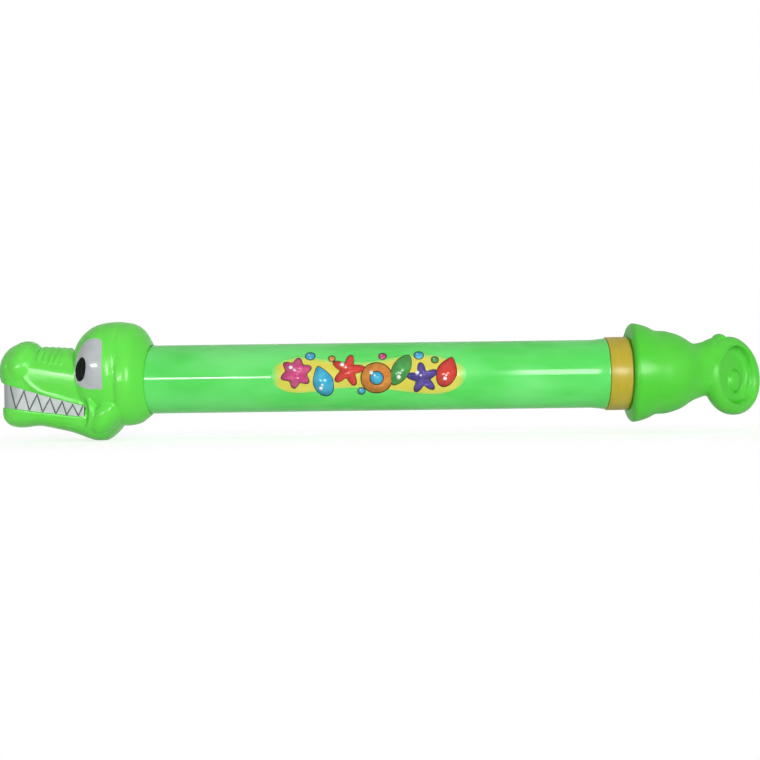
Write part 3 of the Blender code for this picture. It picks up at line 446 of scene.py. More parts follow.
@dataclass(frozen=True)
class Finish:
    """A surface with clouds of a second tone, a fine skin and an uneven gloss.

    The clouds are drawn out along the part by the stretch. Faces seen edge-on keep only the rim's gloss, so
    that the white room doesn't wash their colour out. One smudge of the gloss is several grains across.
    """

    name: str
    colour: str
    second: str
    roughness: float
    cloud_mm: float
    grain_mm: float
    grain_depth_mm: float
    stretch: float = 1.0
    gloss_spread: float = 0.06
    smudge_grains: float = 3.5
    ior: float = 1.5
    rim_gloss: float = 0.04
    metallic: float = 0.0
    subsurface: float = 0.0
    subsurface_depth: float = 3.0 * MM

    def tone(self, tree: Tree) -> Socket:
        """The clouded colour, ready for a shader."""
        coords = add(tree, "ShaderNodeTexCoord", {})
        laid = add(tree, "ShaderNodeMapping", {"Vector": coords.outputs["Object"],
                                               "Scale": (1.0 / self.stretch, 1.0, 1.0)})
        cloud = add(tree, "ShaderNodeTexNoise", {"Vector": laid.outputs["Vector"], "Scale": per(self.cloud_mm),
                                                 "Detail": 2.0, "Roughness": 0.45})
        share = add(tree, "ShaderNodeMapRange", {"Value": cloud.outputs["Fac"], "From Min": 0.36, "From Max": 0.66})
        return blend(tree, share.outputs["Result"], linear(self.colour), linear(self.second))

    def material(self) -> bpy.types.Material:
        """The finish as a material, made once."""
        made = bpy.data.materials.get(self.name)
        if made:
            return made
        made = bpy.data.materials.new(self.name)
        tree = bare_tree(made)
        self.shade(tree, self.tone(tree))
        return made

    def shade(self, tree: Tree, tone: Socket) -> None:
        """Adds the shader with its skin and gloss.

        Args:
            tree: The material's node tree.
            tone: The surface's colour.
        """
        coords = add(tree, "ShaderNodeTexCoord", {})
        grain = add(tree, "ShaderNodeTexNoise", {"Vector": coords.outputs["Object"], "Scale": per(self.grain_mm),
                                                 "Detail": 3.0})
        bump = add(tree, "ShaderNodeBump", {"Height": grain.outputs["Fac"], "Strength": 1.0,
                                            "Distance": self.grain_depth_mm * MM})
        smudge_mm = self.smudge_grains * self.grain_mm
        smudge = add(tree, "ShaderNodeTexNoise", {"Vector": coords.outputs["Object"], "Scale": per(smudge_mm),
                                                  "Detail": 1.0})
        gloss = add(tree, "ShaderNodeMapRange", {"Value": smudge.outputs["Fac"], "From Min": 0.3, "From Max": 0.7,
                                                 "To Min": self.roughness - self.gloss_spread,
                                                 "To Max": self.roughness + self.gloss_spread})
        rim = add(tree, "ShaderNodeLayerWeight", {"Blend": 0.5})
        shine = add(tree, "ShaderNodeMapRange", {"Value": rim.outputs["Facing"], "From Min": 0.35, "From Max": 0.85,
                                                 "To Min": 0.5, "To Max": self.rim_gloss})
        values = {"Base Color": tone, "Roughness": gloss.outputs["Result"], "Normal": bump.outputs["Normal"],
                  "IOR": self.ior, "Specular IOR Level": shine.outputs["Result"], "Metallic": self.metallic,
                  "Subsurface Weight": self.subsurface, "Subsurface Scale": self.subsurface_depth}
        shader = add(tree, "ShaderNodeBsdfPrincipled", values)
        add(tree, "ShaderNodeOutputMaterial", {"Surface": shader.outputs["BSDF"]})


@dataclass(frozen=True)
class FadedInk(Finish):
    """An ink sprayed thin towards its edge, where the plastic under it shows."""

    ground: Finish | None = None

    def tone(self, tree: Tree) -> Socket:
        """The ink's colour over its ground, by the print's own fade."""
        ink = Finish.tone(self, tree)
        fade = add(tree, "ShaderNodeAttribute", {}, attribute_name="fade")
        return blend(tree, fade.outputs["Fac"], self.ground.tone(tree), ink)


def printed(tint: str, colour: str, second: str, roughness: float = 0.22) -> Finish:
    """A pad-printed ink: thin, slightly glossier than moulded plastic, with a mottled lay."""
    return Finish(f"printed_ink_{tint}", colour, second, roughness, 6.0, 3.0, 0.015)


# Blow-moulded polyethylene: bright, a little waxy, with wide gloss and faint flow clouds.
HEAD_GREEN = Finish("blow_moulded_polyethylene_head", "#60dc46", "#68e04e", 0.18, 26.0, 5.0, 0.012, ior=1.32)
# Extruded polypropylene tube: long soft streaks along its length, and a clear gloss.
TUBE_GREEN = Finish("extruded_polypropylene_tube", "#54d559", "#6fe276", 0.11, 22.0, 9.0, 0.01, stretch=2.6,
                    gloss_spread=0.03, ior=1.36)
# Soft polyethylene of the handle: waxy and slightly lumpy, so its highlights are broad.
TAIL_GREEN = Finish("soft_polyethylene_handle", "#49c52d", "#55ca3d", 0.36, 24.0, 7.0, 0.04, ior=1.4)
# Injection-moulded polypropylene ring: even ochre yellow with a satin gloss.
COLLAR_YELLOW = Finish("moulded_polypropylene_ring", "#b39d22", "#baa531", 0.34, 15.0, 4.0, 0.02, stretch=0.3,
                       ior=1.4)
# Sprayed enamel: a dense cool white with a faint orange peel.
EYE_WHITE = Finish("sprayed_enamel_white", "#b0b4b7", "#b8bcbf", 0.14, 10.0, 2.4, 0.01, ior=1.4)
# Moulded polystyrene of the teeth: a cool, slightly chalky white with a satin gloss.
TEETH_WHITE = Finish("moulded_polystyrene_teeth", "#a5adab", "#b1b8b6", 0.3, 9.0, 2.4, 0.02, ior=1.4)
# Dark grey on the faces of the grooves between the teeth: dull and uneven.
TOOTH_LINE = Finish("groove_dark_grey", "#4c5657", "#616c6c", 0.6, 3.0, 1.2, 0.03)
# Gloss enamel of the pupils: a deep even black with a small sharp highlight.
PUPIL_BLACK = Finish("gloss_enamel_black", "#070906", "#0c0e0a", 0.1, 8.0, 2.0, 0.01, ior=1.18)
# Unpigmented polypropylene: milky, with cloudy flow lines.
NATURAL = Finish("natural_polypropylene", "#d3d4cb", "#dfe0d9", 0.38, 14.0, 3.0, 0.03, subsurface=0.1)
# Nitrile seals: dull black with a fine bloom.
SEAL_BLACK = Finish("nitrile_rubber_seal", "#232325", "#303033", 0.62, 5.0, 0.8, 0.03)
# Zinc-plated steel: bright with a cloudy passivated film.
ZINC_STEEL = Finish("zinc_plated_steel", "#b9bcc0", "#cfd0cc", 0.32, 3.0, 0.5, 0.01, metallic=1.0)
# Sprayed ground of the print: a thin sunny yellow that lets the tube show at its edge.
INK_YELLOW = FadedInk("printed_ink_yellow", "#cfc43c", "#d8cf55", 0.22, 16.0, 9.0, 0.02, stretch=2.0,
                      gloss_spread=0.04, ground=TUBE_GREEN)
# Pad-printed inks: flat clear colours with a dark drawn line.
INK_LINE = printed("umber", "#3c2a1a", "#4a3521", 0.26)
INK_RED = printed("red", "#c8281e", "#d93a2a")
INK_ORANGE = printed("orange", "#d27b1f", "#dd9136")
INK_BLUE = printed("blue", "#1d9fcb", "#46b6d8")
INK_GREEN = printed("green", "#2f8a35", "#44a046")
INK_PINK = printed("pink", "#bf2f6e", "#cf4f86")
INK_VIOLET = printed("violet", "#44318a", "#57459c")
INK_WHITE = printed("white", "#e4e6e2", "#eceeea", 0.24)


def dress(obj: Piece, *finishes: Finish) -> Piece:
    """Gives a piece its finishes, one for each material slot."""
    obj.data.materials.clear()
    for finish in finishes:
        obj.data.materials.append(finish.material())
    return obj


def mount(obj: Piece, body: Body, slot: str, *nodes: str) -> Piece:
    """Hangs a finished piece on its body.

    Args:
        obj: The piece.
        body: The body that it moves with.
        slot: The record's material slot; not used.
        nodes: The CAD nodes that it stands for.

    Returns:
        The piece.
    """
    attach(obj, body.value)
    if nodes:
        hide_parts(*nodes)
    LOG.info("%s: %d faces on %s", obj.name, len(obj.data.polygons), body.value)
    return obj


# ---------------------------------------------------------------- head


@dataclass
class Head:
    """The crocodile's head: two shell halves, eyes, pupils and the band of teeth."""

    voxel: float = 0.6 * MM
    # how often the skin is smoothed once its forms are joined, and again with the mouth cut
    form_rounds: int = 5
    mouth_rounds: int = 2
    wall: float = 2.4
    hollow_voxel: float = 1.5 * MM
    parting: float = 0.04 * MM
    sleeve_wall: float = 2.0 * MM
    sleeve_ends: Point = (AT.barrel_front - 3.0 * MM, AT.neck - 1.5 * MM)
    socket_front: float = AT.barrel_front - 6.0 * MM
    eye_proud: float = 0.12 * MM
    pupil_proud: float = 0.2 * MM
    eye_depth: float = 2.2
    eye_floor: float = 19.0
    pupil_depth: float = 1.4
    pupil_size: Point = (11.0, 17.6)
    pupil_place: Point = (64.9, 7.8)
    pupil_reach: Point = (-5.0, 8.0)
    pupil_turn: float = 41.0
    pupil_lean: float = 19.0
    # the band of teeth: set back from the jaw, lapped by the lips, rounded at the front, flared at the rear
    teeth_recess: float = 1.6
    teeth_thickness: float = 2.4
    teeth_lap: float = 0.2
    teeth_gap: float = 0.3
    teeth_flare: float = 0.4
    teeth_step: float = 0.2
    teeth_round: float = 2.0
    groove_width: float = 1.05
    groove_depth: float = 0.6
    nozzle_hole: float = 5.3 * MM
    nozzle_hole_end: float = AT.nose + 15.6 * MM
    hood_swell: float = 10.95
    hood_rake: float = 0.015
    hood_scoop: float = 2.3 * MM
    hood_scoop_mm: float = 14.0
    hood_rim_walls: float = 1.2
    # folds over the snout: start and sweep in degrees, lean to the front, thinner towards their ends
    wrinkles: Row = (34.4, 39.0, 43.4, 47.6, 51.6)
    wrinkle_bead: float = 2.2
    wrinkle_rise: float = 1.6
    wrinkle_arc: Point = (24.0, 132.0)
    wrinkle_lean: float = 2.2
    wrinkle_thin: float = 0.35
    wrinkle_steps: int = 40
    # squareness of the forms, where 2 is an ellipse
    snout_power: float = 2.2
    full_power: float = 2.6
    hood_power: float = 2.1
    # place, height of the widest line, half width, reach up, reach down
    snout: Rows = (
        (8.0, 8.5, 16.0, 12.5, 30.0), (13.0, 8.5, 18.4, 14.2, 32.0), (20.0, 8.4, 19.8, 15.4, 34.0),
        (28.0, 7.8, 20.8, 15.8, 34.0), (36.0, 6.6, 21.9, 17.0, 34.0), (45.0, 5.0, 23.2, 18.1, 33.0),
        (60.0, 2.4, 25.3, 19.8, 32.0), (74.0, 1.0, 26.8, 21.0, 30.0),
    )
    # reach up of the fuller sides under the snout's widest line
    flank_up: float = 3.0
    jaw: Rows = (
        (4.0, -21.6, 8.0, 5.0, 5.0), (5.0, -21.0, 12.0, 7.5, 8.0), (7.2, -20.4, 15.6, 9.0, 10.8),
        (11.0, -20.0, 18.4, 10.0, 13.2), (18.0, -20.4, 20.6, 10.0, 13.5), (30.0, -21.6, 21.8, 10.0, 11.2),
        (42.0, -22.8, 22.8, 10.0, 12.2), (55.0, -24.6, 24.4, 10.0, 13.5), (68.0, -26.4, 26.2, 11.0, 16.6),
        (75.0, -27.5, 26.4, 12.0, 16.6), (79.0, -27.0, 25.6, 12.0, 16.4), (83.0, -26.4, 23.6, 11.4, 14.2),
        (87.4, -25.4, 20.4, 10.0, 10.8), (90.6, -24.6, 15.0, 8.0, 6.6), (92.6, -24.2, 9.0, 5.0, 3.6),
    )
    face: Rows = (
        (56.4, 7.0, 18.8, 12.4, 22.0), (58.8, 7.0, 23.8, 20.2, 26.0), (62.0, 7.0, 27.2, 25.2, 30.0),
        (66.0, 7.0, 30.2, 29.2, 32.0), (71.0, 7.0, 32.2, 32.5, 34.0), (77.0, 7.0, 33.8, 34.5, 36.0),
        (83.0, 7.0, 34.5, 35.3, 38.0), (86.4, 7.0, 34.5, 35.5, 38.0), (88.4, 7.0, 33.9, 35.5, 37.5),
        (90.0, 7.0, 32.4, 35.4, 36.5), (92.0, 7.0, 28.0, 34.6, 33.0),
    )
    # forward of the neck's rim, growth over the barrel at top and bottom, share of the side swell
    hood: Rows = (
        (0.0, 1.3, 1.2, 0.10), (1.5, 4.4, 2.0, 0.26), (4.2, 9.0, 4.2, 0.50), (7.2, 12.5, 6.4, 0.73),
        (10.5, 14.8, 7.6, 0.90), (15.0, 16.5, 8.4, 1.00), (18.6, 16.9, 8.5, 1.00), (21.0, 17.4, 8.2, 0.93),
        (22.6, 17.5, 7.4, 0.80), (24.4, 17.4, 5.4, 0.52), (27.0, 16.6, 1.0, -0.1),
    )
    # back, left, up and bead radius
    lip: Rows = (
        (9.0, 7.6, 3.0, 6.6), (15.0, 9.5, 2.4, 7.4), (21.5, 11.3, 0.2, 7.4), (27.5, 12.7, -3.4, 6.8),
        (34.0, 14.8, -6.8, 5.8), (43.0, 17.6, -10.4, 4.6), (53.0, 19.4, -13.4, 3.8), (62.0, 20.8, -16.0, 3.2),
        (66.0, 21.4, -17.4, 2.4),
    )
    fold: Rows = (
        (65.4, 25.2, -8.0, 1.6), (69.6, 26.4, -13.0, 2.3), (71.9, 27.2, -19.0, 2.7), (72.0, 27.2, -25.5, 2.7),
        (70.0, 25.6, -31.4, 2.3), (66.6, 22.6, -36.0, 1.6),
    )
    # the crest that runs from the side of the nose down along the upper lip
    ridge: Rows = (
        (15.6, 17.4, 12.6, 2.4), (18.4, 17.6, 9.6, 2.8), (21.8, 17.8, 4.0, 2.8), (25.6, 18.1, -1.2, 2.6),
        (30.4, 18.6, -5.4, 2.4), (36.6, 19.3, -8.6, 2.2), (45.4, 20.4, -11.6, 2.1), (53.6, 21.3, -14.0, 2.1),
        (62.0, 22.2, -16.4, 2.0), (67.0, 22.8, -17.9, 1.6),
    )
    # centre, radii and tilt in degrees
    nose: Form = ((17.3, 0.0, 8.0), (17.0, 20.6, 20.0), 10.0)
    bulb: Form = ((18.9, 0.0, 10.4), (14.8, 22.6, 19.1), 14.0)
    cheek: Form = ((81.2, 16.9, -23.8), (10.6, 15.8, 17.6), 34.0)
    eye: Form = ((77.0, 18.0, 10.0), (16.6, 17.6, 27.0), 0.0)
    nostril: Form = ((8.8, 18.4, 11.2), (2.2, 1.8, 1.7), 0.0)
    # place, upper lip's edge, lower lip's edge
    mouth: Rows = ((-2.0, 0.2, -18.2), (12.0, -3.4, -19.6), (36.0, -10.6, -22.6), (66.5, -18.6, -26.2))
    # place and height of the points between the teeth
    zigzag: tuple[Point, ...] = (
        (11.9, -3.6), (15.9, -20.0), (22.2, -7.2), (25.9, -21.0), (31.8, -9.6), (35.6, -22.4),
        (41.1, -12.6), (45.2, -23.8), (50.0, -15.0), (53.2, -24.6), (57.7, -17.3), (61.8, -25.3), (65.0, -18.4),
    )
    # the eye white's edge, from its lower rear corner round
    eye_curve: tuple[Point, ...] = (
        (80.9, -5.4), (80.9, 2.0), (80.9, 16.0), (80.9, 24.6), (80.2, 27.8), (77.6, 29.5), (74.0, 29.7), (70.2, 28.8),
        (66.2, 25.6), (62.4, 18.8), (60.4, 11.4), (59.8, 4.4), (61.0, -0.8), (63.8, -3.9), (68.8, -5.8), (74.0, -6.4),
        (79.8, -6.4), (80.7, -6.2),
    )

    def point(self, back: float, left: float, up: float) -> Vector:
        """A point of the head in the model's frame."""
        return Vector((AT.nose + back * MM, -left * MM, AT.axis + up * MM))

    def flat(self, back: float, up: float) -> Point:
        """A point seen from the side, in the model's frame."""
        return (AT.nose + back * MM, AT.axis + up * MM)

    def egg(self, name: str, form: Form, side: Side = Side.LEFT, inset: float = 0.0) -> Piece:
        """A rounded form of the head.

        Args:
            name: The form's name.
            form: Its centre, radii and tilt.
            side: The side of the head.
            inset: How much smaller it is all round.

        Returns:
            The new object.
        """
        centre, radii, tilt = form
        place = self.point(centre[0], -side.value * centre[1], centre[2])
        turn = Matrix.Rotation(math.radians(tilt), 4, "Y")
        return ball(name, Matrix.Translation(place) @ turn @ stretch(radii, inset))

    def detail(self, inset: float) -> tuple[int, int]:
        """Rows to a station and points to a ring, fewer for a hollow, which isn't seen."""
        return (2, 24) if inset else (4, 72)

    def loft(self, name: str, rows: Rows, power: float, inset: float = 0.0) -> Piece:
        """A form of the head skinned over its stations, or the hollow in it."""
        steps, count = self.detail(inset)
        stations = smooth_rows(rows, steps)
        if inset:
            stations = [r for r in stations if rows[0][0] + inset < r[0] < rows[-1][0] - inset]
        rings = []
        for place, height, width, up, down in stations:
            reach = [(size - inset) * MM for size in (width, up, down)]
            rings.append(oval(self.point(place, 0.0, height), *reach, power, count))
        return lofted(name, rings)

    def hood_form(self, inset: float = 0.0) -> Piece:
        """The hood round the neck, or the hollow in it."""
        rings, radius = [], AT.barrel_r / MM
        steps, count = self.detail(inset)
        for forward, top, bottom, side in smooth_rows(self.hood, steps):
            if forward < self.hood_rim_walls * inset:
                continue
            place = Vector((AT.neck - forward * MM, 0.0, AT.axis))
            reach = [(radius + grow - inset) * MM for grow in (side * self.hood_swell, top, bottom)]
            ring = oval(place, *reach, self.hood_power, count)
            scoop = self.hood_scoop * max(1.0 - forward / self.hood_scoop_mm, 0.0)
            rings.append([p + Vector((self.hood_rake * (p.z - AT.axis) - scoop * (p.y / AT.barrel_r) ** 2, 0.0, 0.0))
                          for p in ring])
        return lofted("hood", rings)

    def trunk(self, inset: float = 0.0) -> list[Piece]:
        """The large forms that the head and the hollow in it share."""
        return [self.loft("snout", self.snout, self.snout_power, inset), self.egg("nose", self.nose, inset=inset),
                self.loft("jaw", self.jaw, self.full_power, inset),
                self.loft("face", self.face, self.full_power, inset), self.hood_form(inset)]

    def bead(self, name: str, rows: Rows, side: Side) -> Piece:
        """A raised line on one side of the head."""
        curve = smooth_rows(rows, 5)
        path = [self.point(back, -side.value * left, up) for back, left, up, _ in curve]
        return swept(name, path, [row[3] * MM for row in curve], Vector((0.0, side.value, 0.0)))

    def wrinkle(self, place: float) -> Piece:
        """A fold over the top of the snout."""
        rows = smooth_rows(self.snout, 8)
        _, height, width, up, _ = min(rows, key=lambda row: abs(row[0] - place))
        sink = self.wrinkle_bead - self.wrinkle_rise
        path, radii = [], []
        start, sweep = self.wrinkle_arc
        for i in range(self.wrinkle_steps + 1):
            share = i / self.wrinkle_steps
            turn = math.radians(start + sweep * share)
            c, s = math.cos(turn), math.sin(turn)
            back = place - self.wrinkle_lean * abs(c)
            left = (width - sink) * math.copysign(abs(c) ** (2 / self.snout_power), c)
            path.append(self.point(back, left, height + (up - sink) * s ** (2 / self.snout_power)))
            radii.append(self.wrinkle_bead * (1.0 - self.wrinkle_thin * abs(2 * share - 1.0) ** 3) * MM)
        return swept("wrinkle", path, radii, Vector((1.0, 0.0, 0.0)))

    def wedge(self, gap: float) -> Piece:
        """The space between the lips, less a gap all round."""
        rows = smooth_rows(self.mouth, 6)
        back = rows[-1][0] - gap
        points = [self.flat(min(place, back), upper - gap) for place, upper, _ in rows]
        points += [self.flat(min(place, back), lower + gap) for place, _, lower in reversed(rows)]
        return prism("mouth", points, -CLEAR, CLEAR)

    def slab(self, name: str, top: float, right: float) -> Piece:
        """A block round the whole head, cut off at a height and at a side."""
        front, rear = AT.nose - CLEAR, AT.neck + CLEAR
        return prism(name, [(front, -CLEAR), (rear, -CLEAR), (rear, top), (front, top)], -CLEAR, right)

    def skin(self) -> Piece:
        """The whole head's outside as one solid, with its mouth and nostrils."""
        flank = tuple((*row[:3], self.flank_up, row[4]) for row in self.snout)
        forms = self.trunk() + [self.loft("flank", flank, self.full_power), self.egg("bulb", self.bulb)]
        forms += [self.wrinkle(place) for place in self.wrinkles]
        for side in Side:
            forms += [self.egg("cheek", self.cheek, side), self.egg("eye", self.eye, side)]
            forms += [self.bead("bead", rows, side) for rows in (self.lip, self.ridge, self.fold)]
        head = fused(joined("head_skin", forms), self.voxel, self.form_rounds)
        combine(head, self.wedge(0.0), Cut.REMOVE)
        for side in Side:
            combine(head, self.egg("nostril", self.nostril, side), Cut.REMOVE)
        fused(head, self.voxel, self.mouth_rounds)
        return combine(head, self.slab("floor", 0.0, CLEAR), Cut.REMOVE)

    def hollow(self) -> Piece:
        """The space inside the head, round the sleeve that holds the barrel."""
        space = fused(joined("hollow", self.trunk(self.wall)), self.hollow_voxel, 0)
        inner = AT.barrel_r + AT.fit
        wall = tube_wall(*self.sleeve_ends, inner, inner + self.sleeve_wall)
        return combine(space, turned("sleeve", wall, AT.axis), Cut.REMOVE)

    def pupil_rod(self) -> Piece:
        """An oval rod square to the eye's surface where the pupil is."""
        turn, lean = math.radians(self.pupil_turn), math.radians(self.pupil_lean)
        out = Vector((-math.sin(turn), -math.cos(turn), 0.0))
        flat = Vector((math.cos(turn), -math.sin(turn), 0.0))
        side = math.cos(lean) * flat - math.sin(lean) * Vector((0.0, 0.0, 1.0))
        rise = math.sin(lean) * flat + math.cos(lean) * Vector((0.0, 0.0, 1.0))
        (cx, cy, _), (rx, ry, _), _ = self.eye
        share = (self.pupil_place[0] - cx) / rx
        middle = self.point(self.pupil_place[0], cy + ry * math.sqrt(1.0 - share * share), self.pupil_place[1])
        wide, tall = [size / 2 * MM for size in self.pupil_size]
        edge = [wide * math.cos(t) * side + tall * math.sin(t) * rise for t in angles(72)]
        return lofted("pupil_rod", [[middle + level * MM * out + p for p in edge] for level in self.pupil_reach])

    def inlay(self, name: str, skin: Piece, block: Piece, proud: float,
              depth: float) -> Piece:
        """A thin piece set into the eye's dome.

        Args:
            name: The piece's name.
            skin: The head's outside.
            block: The block that cuts the piece's edge.
            proud: How far it stands out of the head.
            depth: How far its back lies inside the dome, in millimetres.

        Returns:
            The new object.
        """
        piece = copied(skin, name)
        modify(piece, "DISPLACE", strength=proud, mid_level=0.0)
        combine(piece, block, Cut.KEEP)
        combine(piece, self.egg("core", self.eye, inset=depth), Cut.REMOVE)
        return smoothed(piece, MOULDED_EDGE)

    def shells(self) -> None:
        """The two halves of the shell with the eyes and pupils set into them."""
        skin = self.skin()
        edge = [self.flat(*row) for row in smooth_rows(self.eye_curve, 6)]
        block = prism("eye_block", edge, -CLEAR, -self.eye_floor * MM)
        white = self.inlay("eye_white_left_paint", skin, block, self.eye_proud, self.eye_depth)
        pupil = self.inlay("pupil_left_paint", skin, self.pupil_rod(), self.pupil_proud, self.pupil_depth)
        half = combine(skin, self.slab("side", 2 * AT.axis + CLEAR, -self.parting), Cut.KEEP)
        combine(half, self.hollow(), Cut.REMOVE)
        bore = AT.barrel_r + AT.fit
        socket = [(self.socket_front, bore), (AT.neck + CLEAR, bore)]
        combine(half, turned("socket", socket, AT.axis, 128, False), Cut.REMOVE)
        combine(half, white, Cut.REMOVE, keep=True)
        combine(half, pupil, Cut.REMOVE, keep=True)
        combine(white, pupil, Cut.REMOVE, keep=True)
        half.name = "head_half_left"
        smoothed(half, MOULDED_EDGE)
        for piece, finish, slot, node in ((half, HEAD_GREEN, "head_green", "head_shell"),
                                          (white, EYE_WHITE, "eye_white", "eye_white"),
                                          (pupil, PUPIL_BLACK, "pupil_black", "pupil")):
            twin = mirrored(piece, piece.name.replace("left", "right"))
            mount(dress(piece, finish), Body.BARREL, slot, node + "_left")
            mount(dress(twin, finish), Body.BARREL, slot, node + "_right")

    def teeth_plan(self, inset: float) -> list[Point]:
        """The front of the jaw from above, moved in by an inset, from the left rear round."""
        back = self.mouth[-1][0] - self.teeth_gap
        rows = [(row[0], row[2] - inset) for row in smooth_rows(self.jaw, 5) if row[0] < back]
        front = rows[0][0] + inset
        left = [(back, rows[-1][1] + self.teeth_flare)]
        left += [(x, y) for x, y in reversed(rows) if x > front + self.teeth_step]
        left.append((front, left[-1][1] - self.teeth_round))
        ring = left + [(x, -y) for x, y in reversed(left)]
        return [(AT.nose + x * MM, -y * MM) for x, y in ring]

    def teeth(self) -> None:
        """The band of teeth between the lips, with dark grooves between the teeth."""
        outline = self.teeth_plan(self.teeth_recess)
        outline += list(reversed(self.teeth_plan(self.teeth_recess + self.teeth_thickness)))
        band = prism("teeth_band_moulding", outline, AT.axis - CLEAR, AT.axis + CLEAR, False)
        combine(band, self.wedge(-self.teeth_lap), Cut.KEEP)
        dress(band, TEETH_WHITE, TOOTH_LINE)
        for (x0, z0), (x1, z1) in zip(self.zigzag, self.zigzag[1:]):
            run = Vector((x1 - x0, z1 - z0)).normalized() * self.groove_width / 2
            side = Vector((-run.y, run.x))
            start, end = Vector((x0, z0)) - run, Vector((x1, z1)) + run
            leg = [self.flat(*p) for p in (start + side, end + side, end - side, start - side)]
            groove = prism("groove", leg, -CLEAR, CLEAR)
            floor = self.teeth_plan(self.teeth_recess + self.groove_depth)
            combine(groove, prism("core", floor, -CLEAR, 2 * AT.axis + CLEAR, False), Cut.REMOVE)
            dress(groove, TEETH_WHITE, TOOTH_LINE)
            groove.data.polygons.foreach_set("material_index", [1] * len(groove.data.polygons))
            combine(band, groove, Cut.REMOVE)
        hole = [(AT.nose - CLEAR, self.nozzle_hole), (self.nozzle_hole_end, self.nozzle_hole)]
        drill = dress(turned("hole", hole, AT.axis - AT.nozzle_drop, 48, False), TEETH_WHITE, TOOTH_LINE)
        smoothed(combine(band, drill, Cut.REMOVE), CUT_EDGE)
        mount(band, Body.BARREL, "teeth_white", "teeth_band")

    def build(self) -> None:
        """Builds and dresses the head."""
        self.shells()
        self.teeth()


# ---------------------------------------------------------------- barrel


@dataclass
class Barrel:
    """The tube, its collar and guide bush, and the nozzle tip at the front of the mouth."""

    wall: float = 1.8 * MM
    bell_length: float = 14.0 * MM
    bell_rise: float = 1.3 * MM
    collar_rise: float = 1.9 * MM
    collar_lap: float = 2.4 * MM
    spigot: float = 20.0 * MM
    bush_wall: float = 2.4 * MM
    bush_flange: float = 2.0 * MM
    bush_flange_rise: float = 2.5 * MM
    bush_recess: float = 0.5 * MM
    nozzle_x: float = AT.nose + 5.1 * MM
    nozzle_r: float = 5.0 * MM
    nozzle_face: float = 3.5 * MM
    nozzle_stem: float = 8.0 * MM
    stem_r: float = 2.2 * MM
    # depth and radius of the nozzle's dished face, from the jet out
    nozzle_dish: tuple[Point, ...] = ((0.9, 1.2), (0.5, 2.0), (0.1, 3.4), (0.0, 4.0))

    def bell(self, radius: float, steps: int = 10) -> list[Point]:
        """The flare at the tube's rear, at a given radius."""
        start = AT.barrel_rear - self.collar_lap - AT.fit - self.bell_length
        shares = [i / steps for i in range(steps + 1)]
        return [(start + t * self.bell_length, radius + self.bell_rise * t * t) for t in shares]

    def tube(self) -> None:
        """The tube that holds the water."""
        outer = [(AT.barrel_front, AT.barrel_r)] + self.bell(AT.barrel_r)
        inner = [(x, r - self.wall) for x, r in reversed(outer)]
        tube = turned("barrel_tube_extrusion", outer + inner, AT.axis, 160, edge=0.3 * MM)
        mount(dress(tube, TUBE_GREEN), Body.BARREL, "tube_green", "barrel_tube")

    def collar(self) -> None:
        """The ring on the tube's rear and the bush in it."""
        front, step = AT.barrel_rear - self.spigot, AT.barrel_rear - self.collar_lap
        bore = AT.barrel_r - self.wall
        bush_r = AT.rod_r + AT.fit + self.bush_wall
        hole, flange_r = bush_r + AT.fit, bush_r + self.bush_flange_rise + AT.fit
        outer, lip = AT.barrel_r + self.collar_rise, self.bush_flange + AT.fit
        profile = [(front, flange_r), (front, bore - AT.fit)]
        profile += [(x, r - AT.fit) for x, r in self.bell(bore)[:-1]]
        profile += [(step, bore + self.bell_rise - AT.fit), (step, outer), (AT.collar_rear, outer),
                    (AT.collar_rear, hole), (front + lip, hole), (front + lip, flange_r)]
        collar = turned("rear_collar_ring", profile, AT.axis, 160, edge=0.55 * MM)
        mount(dress(collar, COLLAR_YELLOW), Body.BARREL, "collar_yellow", "rear_collar")
        inner, step, rear = AT.rod_r + AT.fit, front + self.bush_flange, AT.collar_rear - self.bush_recess
        profile = [(front, inner), (front, flange_r - AT.fit), (step, flange_r - AT.fit), (step, bush_r),
                   (rear, bush_r), (rear, inner)]
        bush = turned("rod_guide_sleeve", profile, AT.axis, 96, edge=0.25 * MM)
        mount(dress(bush, NATURAL), Body.BARREL, "natural_plastic", "rod_guide_bush")

    def nozzle(self) -> None:
        """The tip that the water leaves by, with a dished face."""
        front, step = self.nozzle_x, self.nozzle_x + self.nozzle_face
        end = step + self.nozzle_stem
        profile = [(front + depth * MM, radius * MM) for depth, radius in self.nozzle_dish]
        profile += [(front, self.nozzle_r), (step, self.nozzle_r), (step, self.stem_r), (end, self.stem_r),
                    (end, profile[0][1])]
        tip = turned("nozzle_tip_moulding", profile, AT.axis - AT.nozzle_drop, 64, edge=0.3 * MM)
        mount(dress(tip, NATURAL), Body.BARREL, "natural_plastic", "nozzle_tip")

    def build(self) -> None:
        """Builds and dresses the barrel's pieces."""
        self.tube()
        self.collar()
        self.nozzle()


class Motif(Enum):
    """Plain shapes of the print on the tube."""

    STAR = "star"
    RING = "ring"
    DROP = "drop"
    FLOWER = "flower"
    LEAF = "leaf"
    DOT = "dot"


# lobes round a motif's edge and their depth as a share of its size
LOBES = {Motif.STAR: (5, 0.26), Motif.FLOWER: (6, 0.16)}


